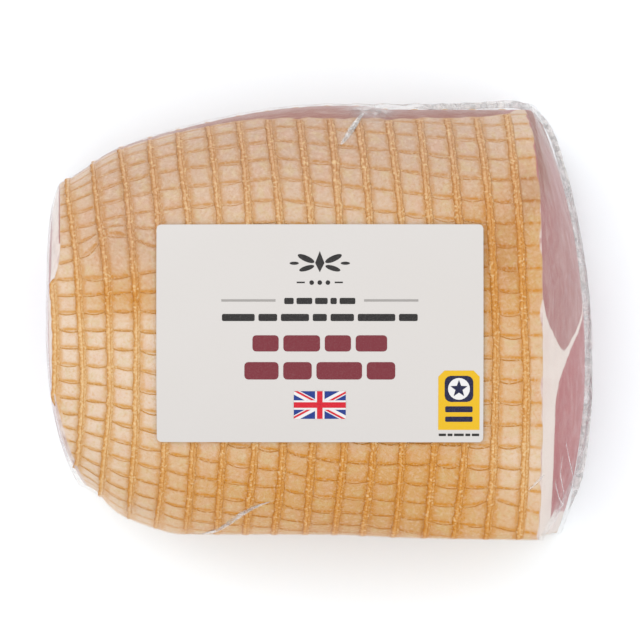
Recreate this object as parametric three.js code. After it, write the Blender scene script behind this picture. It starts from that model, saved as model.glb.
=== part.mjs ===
// A pack of smoked gammon: a boneless joint in an elastic net, sealed in tight clear film, with a
// paper label on its front. It lies on its back, label up.
// Millimetres, +Z up. +X runs along the joint to its large cut face, +Y across it to the side with
// the round shoulder, and the origin is under the middle of the pack, on the surface it lies on.
import * as THREE from 'three';

// ---- driving dimensions -------------------------------------------------------------------------
const LENGTH = 179; // from the small end to the belly of the cut face
const WIDTH = 142.6; // across the joint at its thickest
const HEIGHT = 84; // from the back it lies on to its crown

const SMALL_END_WIDTH = 98.5; // the joint tapers to this at its small end
const SMALL_END_HEIGHT = 74;
const TAPER_FROM = 10; // x where the round side starts to draw in
const TAPER_POWER = 1.8;
const CROWN_AT = 15; // x where the joint is highest
const CROWN_FALL = 2; // the crown falls by this towards the cut face
const FLAT_SIDE_TO = -41; // x where the straight side ends and slants in
const FLAT_SIDE_SLANT = 0.4; // sideways for each mm along, past that place
const SLANT_BLEND = 6; // length over which the slant sets in

const WAIST = 0.44; // height of the widest line, as a share of the crown's
const BASE_SINK = 0.14; // the round back is pressed flat by this share of the waist
const PRESSED_CORNER = 2.5; // softness of the edge of a pressed place

const FLARE_FROM = 5; // x where the straight side starts to swell towards the cut face
const FLARE_LENGTH = 62;
const FLARE = 20; // by this at the end, all of it pressed flat

const SHOULDER_SQUARENESS = 3; // section of the round side: 2 is an ellipse, more is squarer
const SIDE_SQUARENESS = 2.15; // section of the straight side
const BACK_SQUARENESS = 3;

// The net: hoops of elastic cord under the film, at an even pitch from the cut face and drawn
// closer together at the small end. A hoop's place is the x where it crosses the middle.
const HOOPS = 17;
const LAST_HOOP = 65.9;
const HOOP_PITCH = 9.64;
const TIGHT_HOOPS = 5; // so many pitches at the small end
const TIGHTENED = 3.1; // are shorter, by this in all
const CORD_HEIGHT = 1; // a hoop stands this proud of the rind
const PILLOW_HEIGHT = 0.5; // the rind swells by this between two hoops
const RINGS_PER_HOOP = 4;
const COLUMNS = 56; // points round each ring

// The hoops and both rims aren't flat rings: they bow towards the cut face near the middle.
const BOW_APEX = -0.2; // share of the half width where a hoop reaches furthest
const HOOP_BOW_SHOULDER = 6.2; // how far it has fallen back at the round side
const HOOP_BOW_SIDE = 3.9; // and at the straight side
const BOW_BLEND = 30; // length over which a rim's own bow passes into the hoops'

// The large cut face: a rim where the rind ends, then a belly of meat past it.
const CUT_RIM = 72.6;
const CUT_RIM_BOW_SHOULDER = 4.3;
const CUT_RIM_BOW_SIDE = 1.8;
const CUT_LEAN = 9; // the back of the rim reaches further out, as the cut is oblique
const CUT_BELLY_AT = [-14, 31]; // y and z of the furthest point
const CUT_BELLY_ROUNDNESS = { shoulder: 2.2, crown: 1.9, side: 2.5, back: 2.6 };
const CUT_RINGS = 8;

// The small end: nearly flat, and it shows a little from the front near the round side.
const SMALL_RIM = -87.6;
const SMALL_RIM_BOW_SIDE = -8.5;
const SMALL_LEAN = 3.5;
const SMALL_LEAN_FROM = 5; // y where its rim starts to lean back
const SMALL_LEAN_BLEND = 18;
const SMALL_FACE_AT = [-5, 33];
const SMALL_FACE_ROUNDNESS = 7;
const SMALL_FACE_FALL = 6.3; // it falls away by this towards the straight side,
const SMALL_FACE_FALL_OVER = 50; // over this width,
const SMALL_FACE_FALL_POWER = 1.6; // gently at first
const SMALL_RINGS = 5;

// The label, a flat sticker that follows the crown over the net.
const LABEL_LENGTH = 105;
const LABEL_WIDTH = 70;
const LABEL_AT = [-0.4, -4.2]; // its middle
const LABEL_CORNER = 1.5;
const LABEL_THICKNESS = 0.4;
const LABEL_GAP = 0.35; // clear of the hoops under it
const LABEL_CELL = 5.5; // size of its facets
const LABEL_CORNER_ROWS = 3;

// ---- the joint's form as laws along its length --------------------------------------------------
const LEFT = -LENGTH / 2;
const RIGHT = LENGTH / 2;
const HALF_WIDTH = WIDTH / 2;
const SMALL_SIDE = -HALF_WIDTH + FLAT_SIDE_SLANT * drawIn(FLAT_SIDE_TO - LEFT);
const TAPER = WIDTH - SMALL_END_WIDTH - (SMALL_SIDE + HALF_WIDTH);

function clamp01(value) {
  return Math.min(1, Math.max(0, value));
}

function smooth(value) {
  const t = clamp01(value);
  return t * t * (3 - 2 * t);
}

// A ramp that starts gently and then rises one for one.
function drawIn(distance) {
  const t = Math.max(0, distance);
  return (t * t) / (t + SLANT_BLEND);
}

function shoulderEdge(x) {
  const t = Math.max(0, TAPER_FROM - x) / (TAPER_FROM - LEFT);
  return HALF_WIDTH - TAPER * t ** TAPER_POWER;
}

// Where the straight side would reach if it weren't pressed flat.
function sideEdge(x) {
  const flare = FLARE * (Math.max(0, x - FLARE_FROM) / FLARE_LENGTH) ** 2;
  return -HALF_WIDTH + FLAT_SIDE_SLANT * drawIn(FLAT_SIDE_TO - x) - flare;
}

function crownHeight(x) {
  if (x < CROWN_AT) {
    const t = (CROWN_AT - x) / (CROWN_AT - LEFT);
    return HEIGHT - (HEIGHT - SMALL_END_HEIGHT) * t * t;
  }
  const t = (x - CROWN_AT) / (CUT_RIM - CROWN_AT);
  return HEIGHT - CROWN_FALL * t * t;
}

// The distance at which a ray from the middle meets the curve |u|^p + |v|^p = 1.
function reach(u, v, p) {
  return (Math.abs(u) ** p + Math.abs(v) ** p) ** (-1 / p);
}

// The section at x, as a point { y, z } for an angle that runs from the round side over the crown.
// It is the form before it is pressed flat at the back and at the straight side.
function sectionPoint(x, angle) {
  const [c, s] = [Math.cos(angle), Math.sin(angle)];
  const middle = (shoulderEdge(x) + sideEdge(x)) / 2;
  const half = (shoulderEdge(x) - sideEdge(x)) / 2;
  const crown = crownHeight(x);
  const waist = WAIST * crown;
  const front = c < 0 ? SIDE_SQUARENESS : SHOULDER_SQUARENESS;
  const r = reach(c, s, s < 0 ? BACK_SQUARENESS : front);
  const z = s < 0 ? waist * (1 + (1 + BASE_SINK) * r * s) : waist + (crown - waist) * r * s;
  return { y: middle + half * r * c, z, across: r * c };
}

// How far a ring falls back towards the small end, at a share of the half width across.
function bow(across, shoulder, side) {
  const t = across - BOW_APEX;
  return t > 0 ? shoulder * (t / (1 - BOW_APEX)) ** 2 : side * (t / (1 + BOW_APEX)) ** 2;
}

// The rim of the cut face and of the small end, as x for a place on the section.
function cutRim(across, z) {
  const waist = WAIST * crownHeight(CUT_RIM);
  const lean = CUT_LEAN * clamp01(1 - z / waist);
  return CUT_RIM - bow(across, CUT_RIM_BOW_SHOULDER, CUT_RIM_BOW_SIDE) + lean;
}

function smallRim(across, y, z) {
  const lean = SMALL_LEAN * smooth((y - SMALL_LEAN_FROM) / SMALL_LEAN_BLEND);
  return SMALL_RIM - bow(across, 0, SMALL_RIM_BOW_SIDE) + lean * clamp01(z / SMALL_END_HEIGHT);
}

// The x of the ring that crosses the middle at station, at a place on its section.
function ringX(station, { y, z, across }) {
  const hoop = station - bow(across, HOOP_BOW_SHOULDER, HOOP_BOW_SIDE);
  const fromSmall = smooth((station - SMALL_RIM) / BOW_BLEND);
  const fromCut = smooth((CUT_RIM - station) / BOW_BLEND);
  const nearSmall = smallRim(across, y, z) + station - SMALL_RIM;
  const nearCut = cutRim(across, z) + station - CUT_RIM;
  return hoop + (nearSmall - hoop) * (1 - fromSmall) + (nearCut - hoop) * (1 - fromCut);
}

// The place of a hoop, counted from the small end, and of what lies between two hoops.
function hoopPlace(number) {
  const tight = Math.max(0, (TIGHT_HOOPS - number) / TIGHT_HOOPS);
  return LAST_HOOP - HOOP_PITCH * (HOOPS - 1 - number) + TIGHTENED * tight ** 2;
}

function hoopNumber(place) {
  const before = hoopPlace(TIGHT_HOOPS) - place;
  if (before <= 0) return TIGHT_HOOPS - before / HOOP_PITCH;
  const closer = TIGHTENED / TIGHT_HOOPS ** 2;
  return TIGHT_HOOPS - (HOOP_PITCH - Math.sqrt(HOOP_PITCH ** 2 - 4 * closer * before)) / (2 * closer);
}

// The low relief of the net under the film: a ridge on each hoop, a swell between two.
function relief(station, place) {
  const number = hoopNumber(place);
  const offHoop = Math.abs(number - Math.round(number)) * 2;
  const ridge = CORD_HEIGHT * clamp01(1 - offHoop * 2);
  const fade = smooth((station - SMALL_RIM) / HOOP_PITCH) * smooth((CUT_RIM - station) / HOOP_PITCH);
  return (ridge + PILLOW_HEIGHT * offHoop ** 2) * fade;
}

// ---- the sealed pack ----------------------------------------------------------------------------
// Outline and relief are kept inside the driving sizes, so the bare form is drawn in by the ridge.
function bodyRing(station) {
  const ring = [];
  for (let i = 0; i < COLUMNS; i += 1) {
    const angle = (2 * Math.PI * i) / COLUMNS;
    const here = sectionPoint(station, angle);
    const x = ringX(station, here);
    const place = x + bow(here.across, HOOP_BOW_SHOULDER, HOOP_BOW_SIDE);
    const raised = relief(station, place) - CORD_HEIGHT;
    const before = sectionPoint(station, angle - 0.01);
    const after = sectionPoint(station, angle + 0.01);
    const [dy, dz] = [after.y - before.y, after.z - before.z];
    const size = Math.hypot(dy, dz);
    const y = here.y + (raised * dz) / size;
    const z = here.z - (raised * dy) / size;
    ring.push(new THREE.Vector3(x, y, z));
  }
  return ring;
}

// How far the small end has fallen back from its furthest point, towards the straight side.
function smallTip(y) {
  const away = Math.max(0, SMALL_FACE_AT[0] - y) / SMALL_FACE_FALL_OVER;
  return LEFT + SMALL_FACE_FALL * away ** SMALL_FACE_FALL_POWER;
}

// Rings of an end face, from just inside its rim to just outside its furthest point.
function faceRings(rim, [middleY, middleZ], tip, roundness, count) {
  const rings = [];
  for (let j = 1; j < count; j += 1) {
    const share = 1 - j / count;
    const k = 1 - (1 - share) ** 1.6;
    rings.push(rim.map((point, i) => {
      const power = roundness((2 * Math.PI * i) / COLUMNS);
      const out = 1 - k ** power;
      const y = middleY + k * (point.y - middleY);
      const z = middleZ + k * (point.z - middleZ);
      return new THREE.Vector3(point.x + (tip(y) - point.x) * out, y, z);
    }));
  }
  return rings;
}

// The roundness of the belly passes from one side's value to the next as the square of the sine.
function cutRoundness(angle) {
  const [c, s] = [Math.cos(angle), Math.sin(angle)];
  const across = c > 0 ? CUT_BELLY_ROUNDNESS.shoulder : CUT_BELLY_ROUNDNESS.side;
  const upright = s > 0 ? CUT_BELLY_ROUNDNESS.crown : CUT_BELLY_ROUNDNESS.back;
  return across * c * c + upright * s * s;
}

// The distance from a flat surface once a form is pressed on it: never less than none.
function pressed(distance) {
  if (distance <= -PRESSED_CORNER) return 0;
  if (distance >= PRESSED_CORNER) return distance;
  return (distance + PRESSED_CORNER) ** 2 / (4 * PRESSED_CORNER);
}

// The back and the straight side are pressed flat, where they have lain on something.
function pressFlat(point) {
  const y = pressed(point.y + HALF_WIDTH) - HALF_WIDTH;
  return new THREE.Vector3(point.x, y, pressed(point.z));
}

// A closed skin through rings of points, with a point at each end.
function closedSkin(startPoint, rings, endPoint) {
  const columns = rings[0].length;
  const points = [startPoint, ...rings.flat(), endPoint];
  const index = [];
  const at = (ring, column) => 1 + ring * columns + (column % columns);
  for (let column = 0; column < columns; column += 1) {
    index.push(0, at(0, column + 1), at(0, column));
    for (let ring = 0; ring + 1 < rings.length; ring += 1) {
      const [a, b] = [at(ring, column), at(ring, column + 1)];
      const [c, d] = [at(ring + 1, column + 1), at(ring + 1, column)];
      index.push(a, b, c, a, c, d);
    }
    index.push(points.length - 1, at(rings.length - 1, column), at(rings.length - 1, column + 1));
  }
  return solid(points, index);
}

function solid(points, index) {
  const geometry = new THREE.BufferGeometry();
  geometry.setAttribute('position', new THREE.Float32BufferAttribute(points.flatMap((p) => p.toArray()), 3));
  geometry.setIndex(index);
  geometry.computeVertexNormals();
  return geometry;
}

function packSolid() {
  const body = [bodyRing(SMALL_RIM)];
  const end = CUT_RIM - HOOP_PITCH / RINGS_PER_HOOP / 2;
  for (let i = 0; hoopPlace(i / RINGS_PER_HOOP) < end; i += 1) {
    body.push(bodyRing(hoopPlace(i / RINGS_PER_HOOP)));
  }
  body.push(bodyRing(CUT_RIM));
  const furthest = [
    new THREE.Vector3(LEFT, ...SMALL_FACE_AT),
    new THREE.Vector3(RIGHT, ...CUT_BELLY_AT),
  ];
  const flat = () => SMALL_FACE_ROUNDNESS;
  const smallFace = faceRings(body[0], SMALL_FACE_AT, smallTip, flat, SMALL_RINGS).reverse();
  const cutFace = faceRings(body.at(-1), CUT_BELLY_AT, () => RIGHT, cutRoundness, CUT_RINGS);
  const rings = [...smallFace, ...body, ...cutFace].map((ring) => ring.map(pressFlat));
  return closedSkin(furthest[0], rings, furthest[1]);
}

// ---- the label ----------------------------------------------------------------------------------
// The height of the pack's front over a place, on top of the hoops.
function frontHeight(x, y) {
  const middle = (shoulderEdge(x) + sideEdge(x)) / 2;
  const half = (shoulderEdge(x) - sideEdge(x)) / 2;
  const across = (y - middle) / half;
  const station = x + bow(across, HOOP_BOW_SHOULDER, HOOP_BOW_SIDE);
  const p = across < 0 ? SIDE_SQUARENESS : SHOULDER_SQUARENESS;
  const crown = crownHeight(station);
  return WAIST * crown + (1 - WAIST) * crown * (1 - Math.abs(across) ** p) ** (1 / p);
}

// Rows across the label: close together in its rounded corners, even between them.
function labelRows() {
  const straight = LABEL_WIDTH / 2 - LABEL_CORNER;
  const count = Math.round((2 * straight) / LABEL_CELL);
  const body = Array.from({ length: count + 1 }, (_, i) => -straight + (2 * straight * i) / count);
  const corner = Array.from({ length: LABEL_CORNER_ROWS }, (_, i) => {
    return straight + LABEL_CORNER * Math.sin((Math.PI / 2) * ((i + 1) / LABEL_CORNER_ROWS));
  });
  return [...corner.map((y) => -y).reverse(), ...body, ...corner];
}

function labelHalfLength(y) {
  const past = Math.max(0, Math.abs(y) - (LABEL_WIDTH / 2 - LABEL_CORNER));
  return LABEL_LENGTH / 2 - LABEL_CORNER + Math.sqrt(Math.max(0, LABEL_CORNER ** 2 - past ** 2));
}

function labelSolid() {
  const rows = labelRows();
  const columns = Math.round(LABEL_LENGTH / LABEL_CELL);
  const points = [];
  for (const lift of [LABEL_GAP, LABEL_GAP + LABEL_THICKNESS]) {
    for (const row of rows) {
      for (let i = 0; i <= columns; i += 1) {
        const x = LABEL_AT[0] + labelHalfLength(row) * ((2 * i) / columns - 1);
        const y = LABEL_AT[1] + row;
        points.push(new THREE.Vector3(x, y, frontHeight(x, y) + lift));
      }
    }
  }
  const layer = rows.length * (columns + 1);
  const at = (row, column) => row * (columns + 1) + column;
  const index = [];
  const wall = (a, b) => index.push(a, b, b + layer, a, b + layer, a + layer);
  for (let row = 0; row + 1 < rows.length; row += 1) {
    for (let i = 0; i < columns; i += 1) {
      const [a, b, c, d] = [at(row, i), at(row, i + 1), at(row + 1, i + 1), at(row + 1, i)];
      index.push(a, c, b, a, d, c);
      index.push(a + layer, b + layer, c + layer, a + layer, c + layer, d + layer);
    }
    wall(at(row, columns), at(row + 1, columns));
    wall(at(row + 1, 0), at(row, 0));
  }
  for (let i = 0; i < columns; i += 1) {
    wall(at(0, i), at(0, i + 1));
    wall(at(rows.length - 1, i + 1), at(rows.length - 1, i));
  }
  return solid(points, index);
}

// ---- the model ----------------------------------------------------------------------------------
function piece(name, geometry, color, roughness) {
  const material = new THREE.MeshStandardMaterial({ color, roughness, metalness: 0 });
  const mesh = new THREE.Mesh(geometry, material);
  mesh.name = name;
  return mesh;
}

const pack = new THREE.Group();
pack.add(piece('gammon_pack', packSolid(), 0xd8a76a, 0.35));
pack.add(piece('label', labelSolid(), 0xe3dfdc, 0.55));

export default pack;
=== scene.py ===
# %% [markdown]
# # A pack of smoked gammon
# A boneless gammon joint with its rind on, held by an elastic net, sealed in tight clear film, with
# a paper label on its front. It lies on its back, label up, and the camera looks straight down.
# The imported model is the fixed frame: this lesson dresses it with the joint, the net, the film and
# the printed label. Sizes are worked out in millimetres and go into the meshes in metres.

# %% Load the frame
import math

import bmesh
import bpy
import numpy as np
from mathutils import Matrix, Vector, noise
from mathutils.bvhtree import BVHTree


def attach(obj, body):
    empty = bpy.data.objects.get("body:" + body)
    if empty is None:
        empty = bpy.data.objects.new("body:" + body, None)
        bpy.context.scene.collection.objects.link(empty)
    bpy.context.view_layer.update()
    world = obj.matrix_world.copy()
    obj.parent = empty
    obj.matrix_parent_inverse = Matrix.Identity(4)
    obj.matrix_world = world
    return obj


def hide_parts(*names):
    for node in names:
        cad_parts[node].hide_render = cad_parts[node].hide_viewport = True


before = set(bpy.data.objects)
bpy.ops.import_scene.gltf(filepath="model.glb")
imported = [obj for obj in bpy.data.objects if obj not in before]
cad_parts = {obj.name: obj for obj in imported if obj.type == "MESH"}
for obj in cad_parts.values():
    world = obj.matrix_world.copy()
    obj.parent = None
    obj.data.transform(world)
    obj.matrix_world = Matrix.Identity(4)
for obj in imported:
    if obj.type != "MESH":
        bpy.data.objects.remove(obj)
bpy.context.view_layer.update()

MM = 0.001

# %% [markdown]
# ## The camera
# The photo looks straight down on the pack's front from some way off, so the view is nearly without
# perspective. The camera stands two metres over the pack, and its angle of view is worked out from
# the width that the photo shows at the height of the widest line.

# %% Camera
CAMERA_HEIGHT = 2040.0
CAMERA_AT = (-0.33, 0.1)
SHOWN_WIDTH = 209.84
SHOWN_AT_HEIGHT = 40.0
camera_data = bpy.data.cameras.new("camera")
camera_data.angle = 2 * math.atan(SHOWN_WIDTH / 2 / (CAMERA_HEIGHT - SHOWN_AT_HEIGHT))
camera_data.clip_end = 20
camera = bpy.data.objects.new("camera", camera_data)
camera.location = (CAMERA_AT[0] * MM, CAMERA_AT[1] * MM, CAMERA_HEIGHT * MM)
bpy.context.scene.collection.objects.link(camera)
bpy.context.scene.camera = camera
print("camera angle", round(math.degrees(camera_data.angle), 2))

# %% [markdown]
# ## The form as laws
# The same laws as in the part's source give the section of the pack at a place along it: a barrel
# that tapers to the small end, round on the shoulder side, pressed flat on the other side and on
# its back. Every layer, from the rind to the film, is a ring of this form moved in or out a little.

# %% Sizes of the pack
LENGTH, WIDTH, HEIGHT = 179.0, 142.6, 84.0
SMALL_END_WIDTH, SMALL_END_HEIGHT = 98.5, 74.0
TAPER_FROM, TAPER_POWER = 10.0, 1.8
CROWN_AT, CROWN_FALL = 15.0, 2.0
FLAT_SIDE_TO, FLAT_SIDE_SLANT, SLANT_BLEND = -41.0, 0.4, 6.0
WAIST, BASE_SINK, PRESSED_CORNER = 0.44, 0.14, 2.5
FLARE_FROM, FLARE_LENGTH, FLARE = 5.0, 62.0, 20.0
SHOULDER_SQUARENESS, SIDE_SQUARENESS, BACK_SQUARENESS = 3.0, 2.15, 3.0
BOW_APEX, HOOP_BOW_SHOULDER, HOOP_BOW_SIDE, BOW_BLEND = -0.2, 6.2, 3.9, 30.0
CUT_RIM, CUT_RIM_BOW_SHOULDER, CUT_RIM_BOW_SIDE, CUT_LEAN = 72.6, 0.6, 1.8, 9.0
CUT_CORNER, CUT_CORNER_POWER = 4.2, 6
CUT_BELLY_AT = (-14.0, 31.0)
BELLY_ROUNDNESS = {"shoulder": 2.2, "crown": 1.9, "side": 2.5, "back": 2.6}
SMALL_RIM, SMALL_RIM_BOW_SIDE = -87.6, -8.5
SMALL_LEAN, SMALL_LEAN_FROM, SMALL_LEAN_BLEND = 3.5, 5.0, 18.0
SMALL_FACE_AT, SMALL_FACE_ROUNDNESS = (-5.0, 33.0), 7.0
SMALL_FACE_FALL, SMALL_FACE_FALL_OVER, SMALL_FACE_FALL_POWER = 6.3, 50.0, 1.6
LEFT, RIGHT, HALF_WIDTH = -LENGTH / 2, LENGTH / 2, WIDTH / 2

# The net: hoops at an even pitch from the cut face, drawn closer together near the small end.
HOOPS, LAST_HOOP, HOOP_PITCH = 17, 65.9, 9.64
TIGHT_HOOPS, TIGHTENED = 5, 3.1
STRANDS = 54


# %% The laws
SMALL_TURN = 0.01


def smooth(value):
    """0 below 0, 1 above 1, and a soft step between them."""
    t = np.clip(value, 0, 1)
    return t * t * (3 - 2 * t)


def wrapped(angle, start=-np.pi):
    """The same angle, in the turn that begins at the start."""
    return (angle - start) % (2 * np.pi) + start


def draw_in(distance):
    """Nothing before a place, and past it a slope that sets in softly."""
    t = np.maximum(0, distance)
    return t * t / (t + SLANT_BLEND)


SMALL_SIDE = -HALF_WIDTH + FLAT_SIDE_SLANT * draw_in(FLAT_SIDE_TO - LEFT)
TAPER = WIDTH - SMALL_END_WIDTH - (SMALL_SIDE + HALF_WIDTH)


def shoulder_edge(x):
    return HALF_WIDTH - TAPER * (np.maximum(0, TAPER_FROM - x) / (TAPER_FROM - LEFT)) ** TAPER_POWER


def side_edge(x):
    flare = FLARE * (np.maximum(0, x - FLARE_FROM) / FLARE_LENGTH) ** 2
    return -HALF_WIDTH + FLAT_SIDE_SLANT * draw_in(FLAT_SIDE_TO - x) - flare


def crown_height(x):
    towards_small = HEIGHT - (HEIGHT - SMALL_END_HEIGHT) * ((CROWN_AT - x) / (CROWN_AT - LEFT)) ** 2
    towards_cut = HEIGHT - CROWN_FALL * ((x - CROWN_AT) / (CUT_RIM - CROWN_AT)) ** 2
    return np.where(x < CROWN_AT, towards_small, towards_cut)


def section(x, angle):
    """y, z and the share of the half width across, for angles from the shoulder over the crown."""
    c, s = np.cos(angle), np.sin(angle)
    middle = (shoulder_edge(x) + side_edge(x)) / 2
    half = (shoulder_edge(x) - side_edge(x)) / 2
    crown = crown_height(x)
    waist = WAIST * crown
    power = np.where(s < 0, BACK_SQUARENESS, np.where(c < 0, SIDE_SQUARENESS, SHOULDER_SQUARENESS))
    r = (np.abs(c) ** power + np.abs(s) ** power) ** (-1 / power)
    z = np.where(s < 0, waist * (1 + (1 + BASE_SINK) * r * s), waist + (crown - waist) * r * s)
    return middle + half * r * c, z, r * c


def bow(across, shoulder, side):
    """How far a ring hangs back from its apex, more and more towards both sides."""
    t = across - BOW_APEX
    return np.where(t > 0, shoulder * (t / (1 - BOW_APEX)) ** 2, side * (t / (1 + BOW_APEX)) ** 2)


def cut_rim(across, z):
    """The x of the cut face's rim, which leans out towards the back."""
    lean = CUT_LEAN * np.clip(1 - z / (WAIST * crown_height(CUT_RIM)), 0, 1)
    to_shoulder = np.maximum(0, across - BOW_APEX) / (1 - BOW_APEX)
    rounded = CUT_CORNER * to_shoulder**CUT_CORNER_POWER
    return CUT_RIM - bow(across, CUT_RIM_BOW_SHOULDER, CUT_RIM_BOW_SIDE) - rounded + lean


def small_rim(across, y, z):
    """The x of the small end's rim, which leans in at the top of the shoulder side."""
    lean = SMALL_LEAN * smooth((y - SMALL_LEAN_FROM) / SMALL_LEAN_BLEND)
    return SMALL_RIM - bow(across, 0, SMALL_RIM_BOW_SIDE) + lean * np.clip(z / SMALL_END_HEIGHT, 0, 1)


def small_fall(y):
    """How far the small end's face falls back towards the straight side."""
    share = np.maximum(0, SMALL_FACE_AT[0] - y) / SMALL_FACE_FALL_OVER
    return SMALL_FACE_FALL * share**SMALL_FACE_FALL_POWER


def ring_x(station, y, z, across):
    """The x of a ring: a bowed hoop in the middle, a part of the rim near each end."""
    hoop = station - bow(across, HOOP_BOW_SHOULDER, HOOP_BOW_SIDE)
    from_small = smooth((station - SMALL_RIM) / BOW_BLEND)
    from_cut = smooth((CUT_RIM - station) / BOW_BLEND)
    near_small = small_rim(across, y, z) + station - SMALL_RIM
    near_cut = cut_rim(across, z) + station - CUT_RIM
    return hoop + (near_small - hoop) * (1 - from_small) + (near_cut - hoop) * (1 - from_cut)


def pressed(distance):
    """The distance from a plane that nothing passes, with a rounded edge where the plane begins."""
    rounded = (distance + PRESSED_CORNER) ** 2 / (4 * PRESSED_CORNER)
    return np.where(distance <= -PRESSED_CORNER, 0, np.where(distance >= PRESSED_CORNER, distance, rounded))


def press_flat(points, inside):
    """Presses points flat on the back and on the straight side, that far inside the pack's own planes."""
    flat = points.copy()
    flat[..., 1] = pressed(points[..., 1] + HALF_WIDTH - inside) - HALF_WIDTH + inside
    flat[..., 2] = pressed(points[..., 2] - inside) + inside
    return flat


def section_slope(station, angle):
    """How y and z change over a small turn; a quarter turn of it is the section's normal."""
    y0, z0, _ = section(station, angle - SMALL_TURN)
    y1, z1, _ = section(station, angle + SMALL_TURN)
    return y1 - y0, z1 - z0


def ring(station, angle, out=0.0, inside=0.0, shift=0.0):
    """Points on the pack's section at a station, moved out along the section's normal."""
    y, z, across = section(station, angle)
    dy, dz = section_slope(station, angle)
    size = np.hypot(dy, dz)
    x = ring_x(station, y, z, across) + shift
    points = np.stack([x, y + out * dz / size, z - out * dy / size], -1)
    return press_flat(points, inside)


def hoop_station(i):
    """The x at which a hoop crosses the middle."""
    slack = np.maximum(0, (TIGHT_HOOPS - i) / TIGHT_HOOPS)
    return LAST_HOOP - HOOP_PITCH * (HOOPS - 1 - i) + TIGHTENED * slack**2


def hoop_number(station):
    """The place among the hoops, for the x at which a hoop crosses the middle: whole on a hoop."""
    even = HOOPS - 1 - (LAST_HOOP - station) / HOOP_PITCH
    closer = TIGHTENED / TIGHT_HOOPS**2
    before = np.maximum(0, hoop_station(TIGHT_HOOPS) - station)
    steps = (HOOP_PITCH - np.sqrt(HOOP_PITCH**2 - 4 * closer * before)) / (2 * closer)
    return np.where(before > 0, TIGHT_HOOPS - steps, even)


print("pack", LENGTH, "by", WIDTH, "by", HEIGHT, "mm, small end", SMALL_END_WIDTH, "mm wide")

# %% [markdown]
# ## Where the net's threads run
# Fifty-four thin threads join the hoops. They share out the girth evenly, and the net is wound a
# little askew: the threads drift round the joint by up to one and a half meshes along its length,
# not the same at its two sides. A few threads have slipped and left big meshes near the small end.
# The places could be drawn by hand, but as a law they serve the rind, the cords and the film alike.

# %% Places round the girth
SAMPLES = 2880
NET_DEPTH = 0.7
FRONT_FROM, FRONT_TO = 0.5, 2.6
SLIP_REACH = 0.65
round_angles = np.linspace(0, 2 * np.pi, SAMPLES + 1)
SHOULDER_DRIFT = ([-66, -10, 60], [-0.41, -0.61, 0.81])
SIDE_DRIFT = ([-66, -40, -13, 0, 23, 60], [-0.56, -0.31, 0.10, 0.53, 0.65, 0.45])
SHOULDER_AT, SIDE_AT = -7, 8
# Slipped threads: number, how far in meshes, where along the joint, over what length.
SLIPPED = [(-3, -1.2, -66, 11), (-4, -0.5, -66, 11), (-2, 0.3, -66, 11), (8, -0.45, 58, 7)]


def run_along(points):
    """How far along a path each of its points is."""
    return np.concatenate([[0], np.cumsum(np.linalg.norm(np.diff(points, axis=0), axis=1))])


def strand_drift(strand, station):
    """How many meshes a strand has drifted round the joint at a station."""
    k = (strand + STRANDS / 2) % STRANDS - STRANDS / 2
    to_side = smooth((k - SHOULDER_AT) / (SIDE_AT - SHOULDER_AT))
    past = (k - SIDE_AT) % STRANDS
    back = smooth(past / (STRANDS - (SIDE_AT - SHOULDER_AT)))
    side_share = np.where((k >= SHOULDER_AT) & (k <= SIDE_AT), to_side, 1 - back)
    shoulder, side = np.interp(station, *SHOULDER_DRIFT), np.interp(station, *SIDE_DRIFT)
    drift = shoulder + (side - shoulder) * side_share
    for number, far, at, length in SLIPPED:
        drift = drift + far * np.exp(-(((k - number) / SLIP_REACH) ** 2) - ((station - at) / length) ** 2)
    return drift


def strand_angle(strand, station):
    """The section angle of strands at one station, from even shares of the girth there."""
    girth = ring(station, round_angles, -NET_DEPTH, NET_DEPTH)
    run = run_along(girth)
    front = (round_angles > FRONT_FROM) & (round_angles < FRONT_TO)
    zero = np.interp(0.0, -girth[front, 1], run[front])
    along = (zero + (strand + strand_drift(strand, station)) * run[-1] / STRANDS) % run[-1]
    return np.interp(along, run, round_angles)


middle_drift = strand_drift(np.array([0.0]), 0.0)[0]
print("strands", STRANDS, "drift of the middle one in meshes", round(float(middle_drift), 2))


# %% Mesh helpers
def link(obj):
    bpy.context.scene.collection.objects.link(obj)
    return obj


def store_values(mesh, fields):
    """Keeps a number, or a direction, for every point of a mesh under each field's name."""
    for name, values in fields.items():
        values = np.asarray(values, np.float32)
        kind, slot = ("FLOAT", "value") if values.ndim == 1 else ("FLOAT_VECTOR", "vector")
        mesh.attributes.new(name, kind, "POINT").data.foreach_set(slot, values.ravel())


def new_mesh(name, points, faces, fields=None, smooth_shading=True):
    """A mesh object from points in millimetres; faces point outward."""
    mesh = bpy.data.meshes.new(name)
    mesh.from_pydata((np.asarray(points) * MM).tolist(), [], faces)
    store_values(mesh, fields or {})
    mesh.validate()
    mesh.polygons.foreach_set("use_smooth", [smooth_shading] * len(mesh.polygons))
    mesh.update()
    return link(bpy.data.objects.new(name, mesh))


def skin_faces(ring_count, columns):
    """Faces of a closed skin: a start point, rings of columns, and an end point."""
    faces = []
    last = 1 + ring_count * columns
    for c in range(columns):
        d = (c + 1) % columns
        faces.append((0, 1 + d, 1 + c))
        faces.append((last, 1 + (ring_count - 1) * columns + c, 1 + (ring_count - 1) * columns + d))
    for r in range(ring_count - 1):
        base = 1 + r * columns
        for c in range(columns):
            d = (c + 1) % columns
            faces.append((base + c, base + d, base + columns + d, base + columns + c))
    return faces


CLOSER_AT_RIM = 1.6


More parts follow.
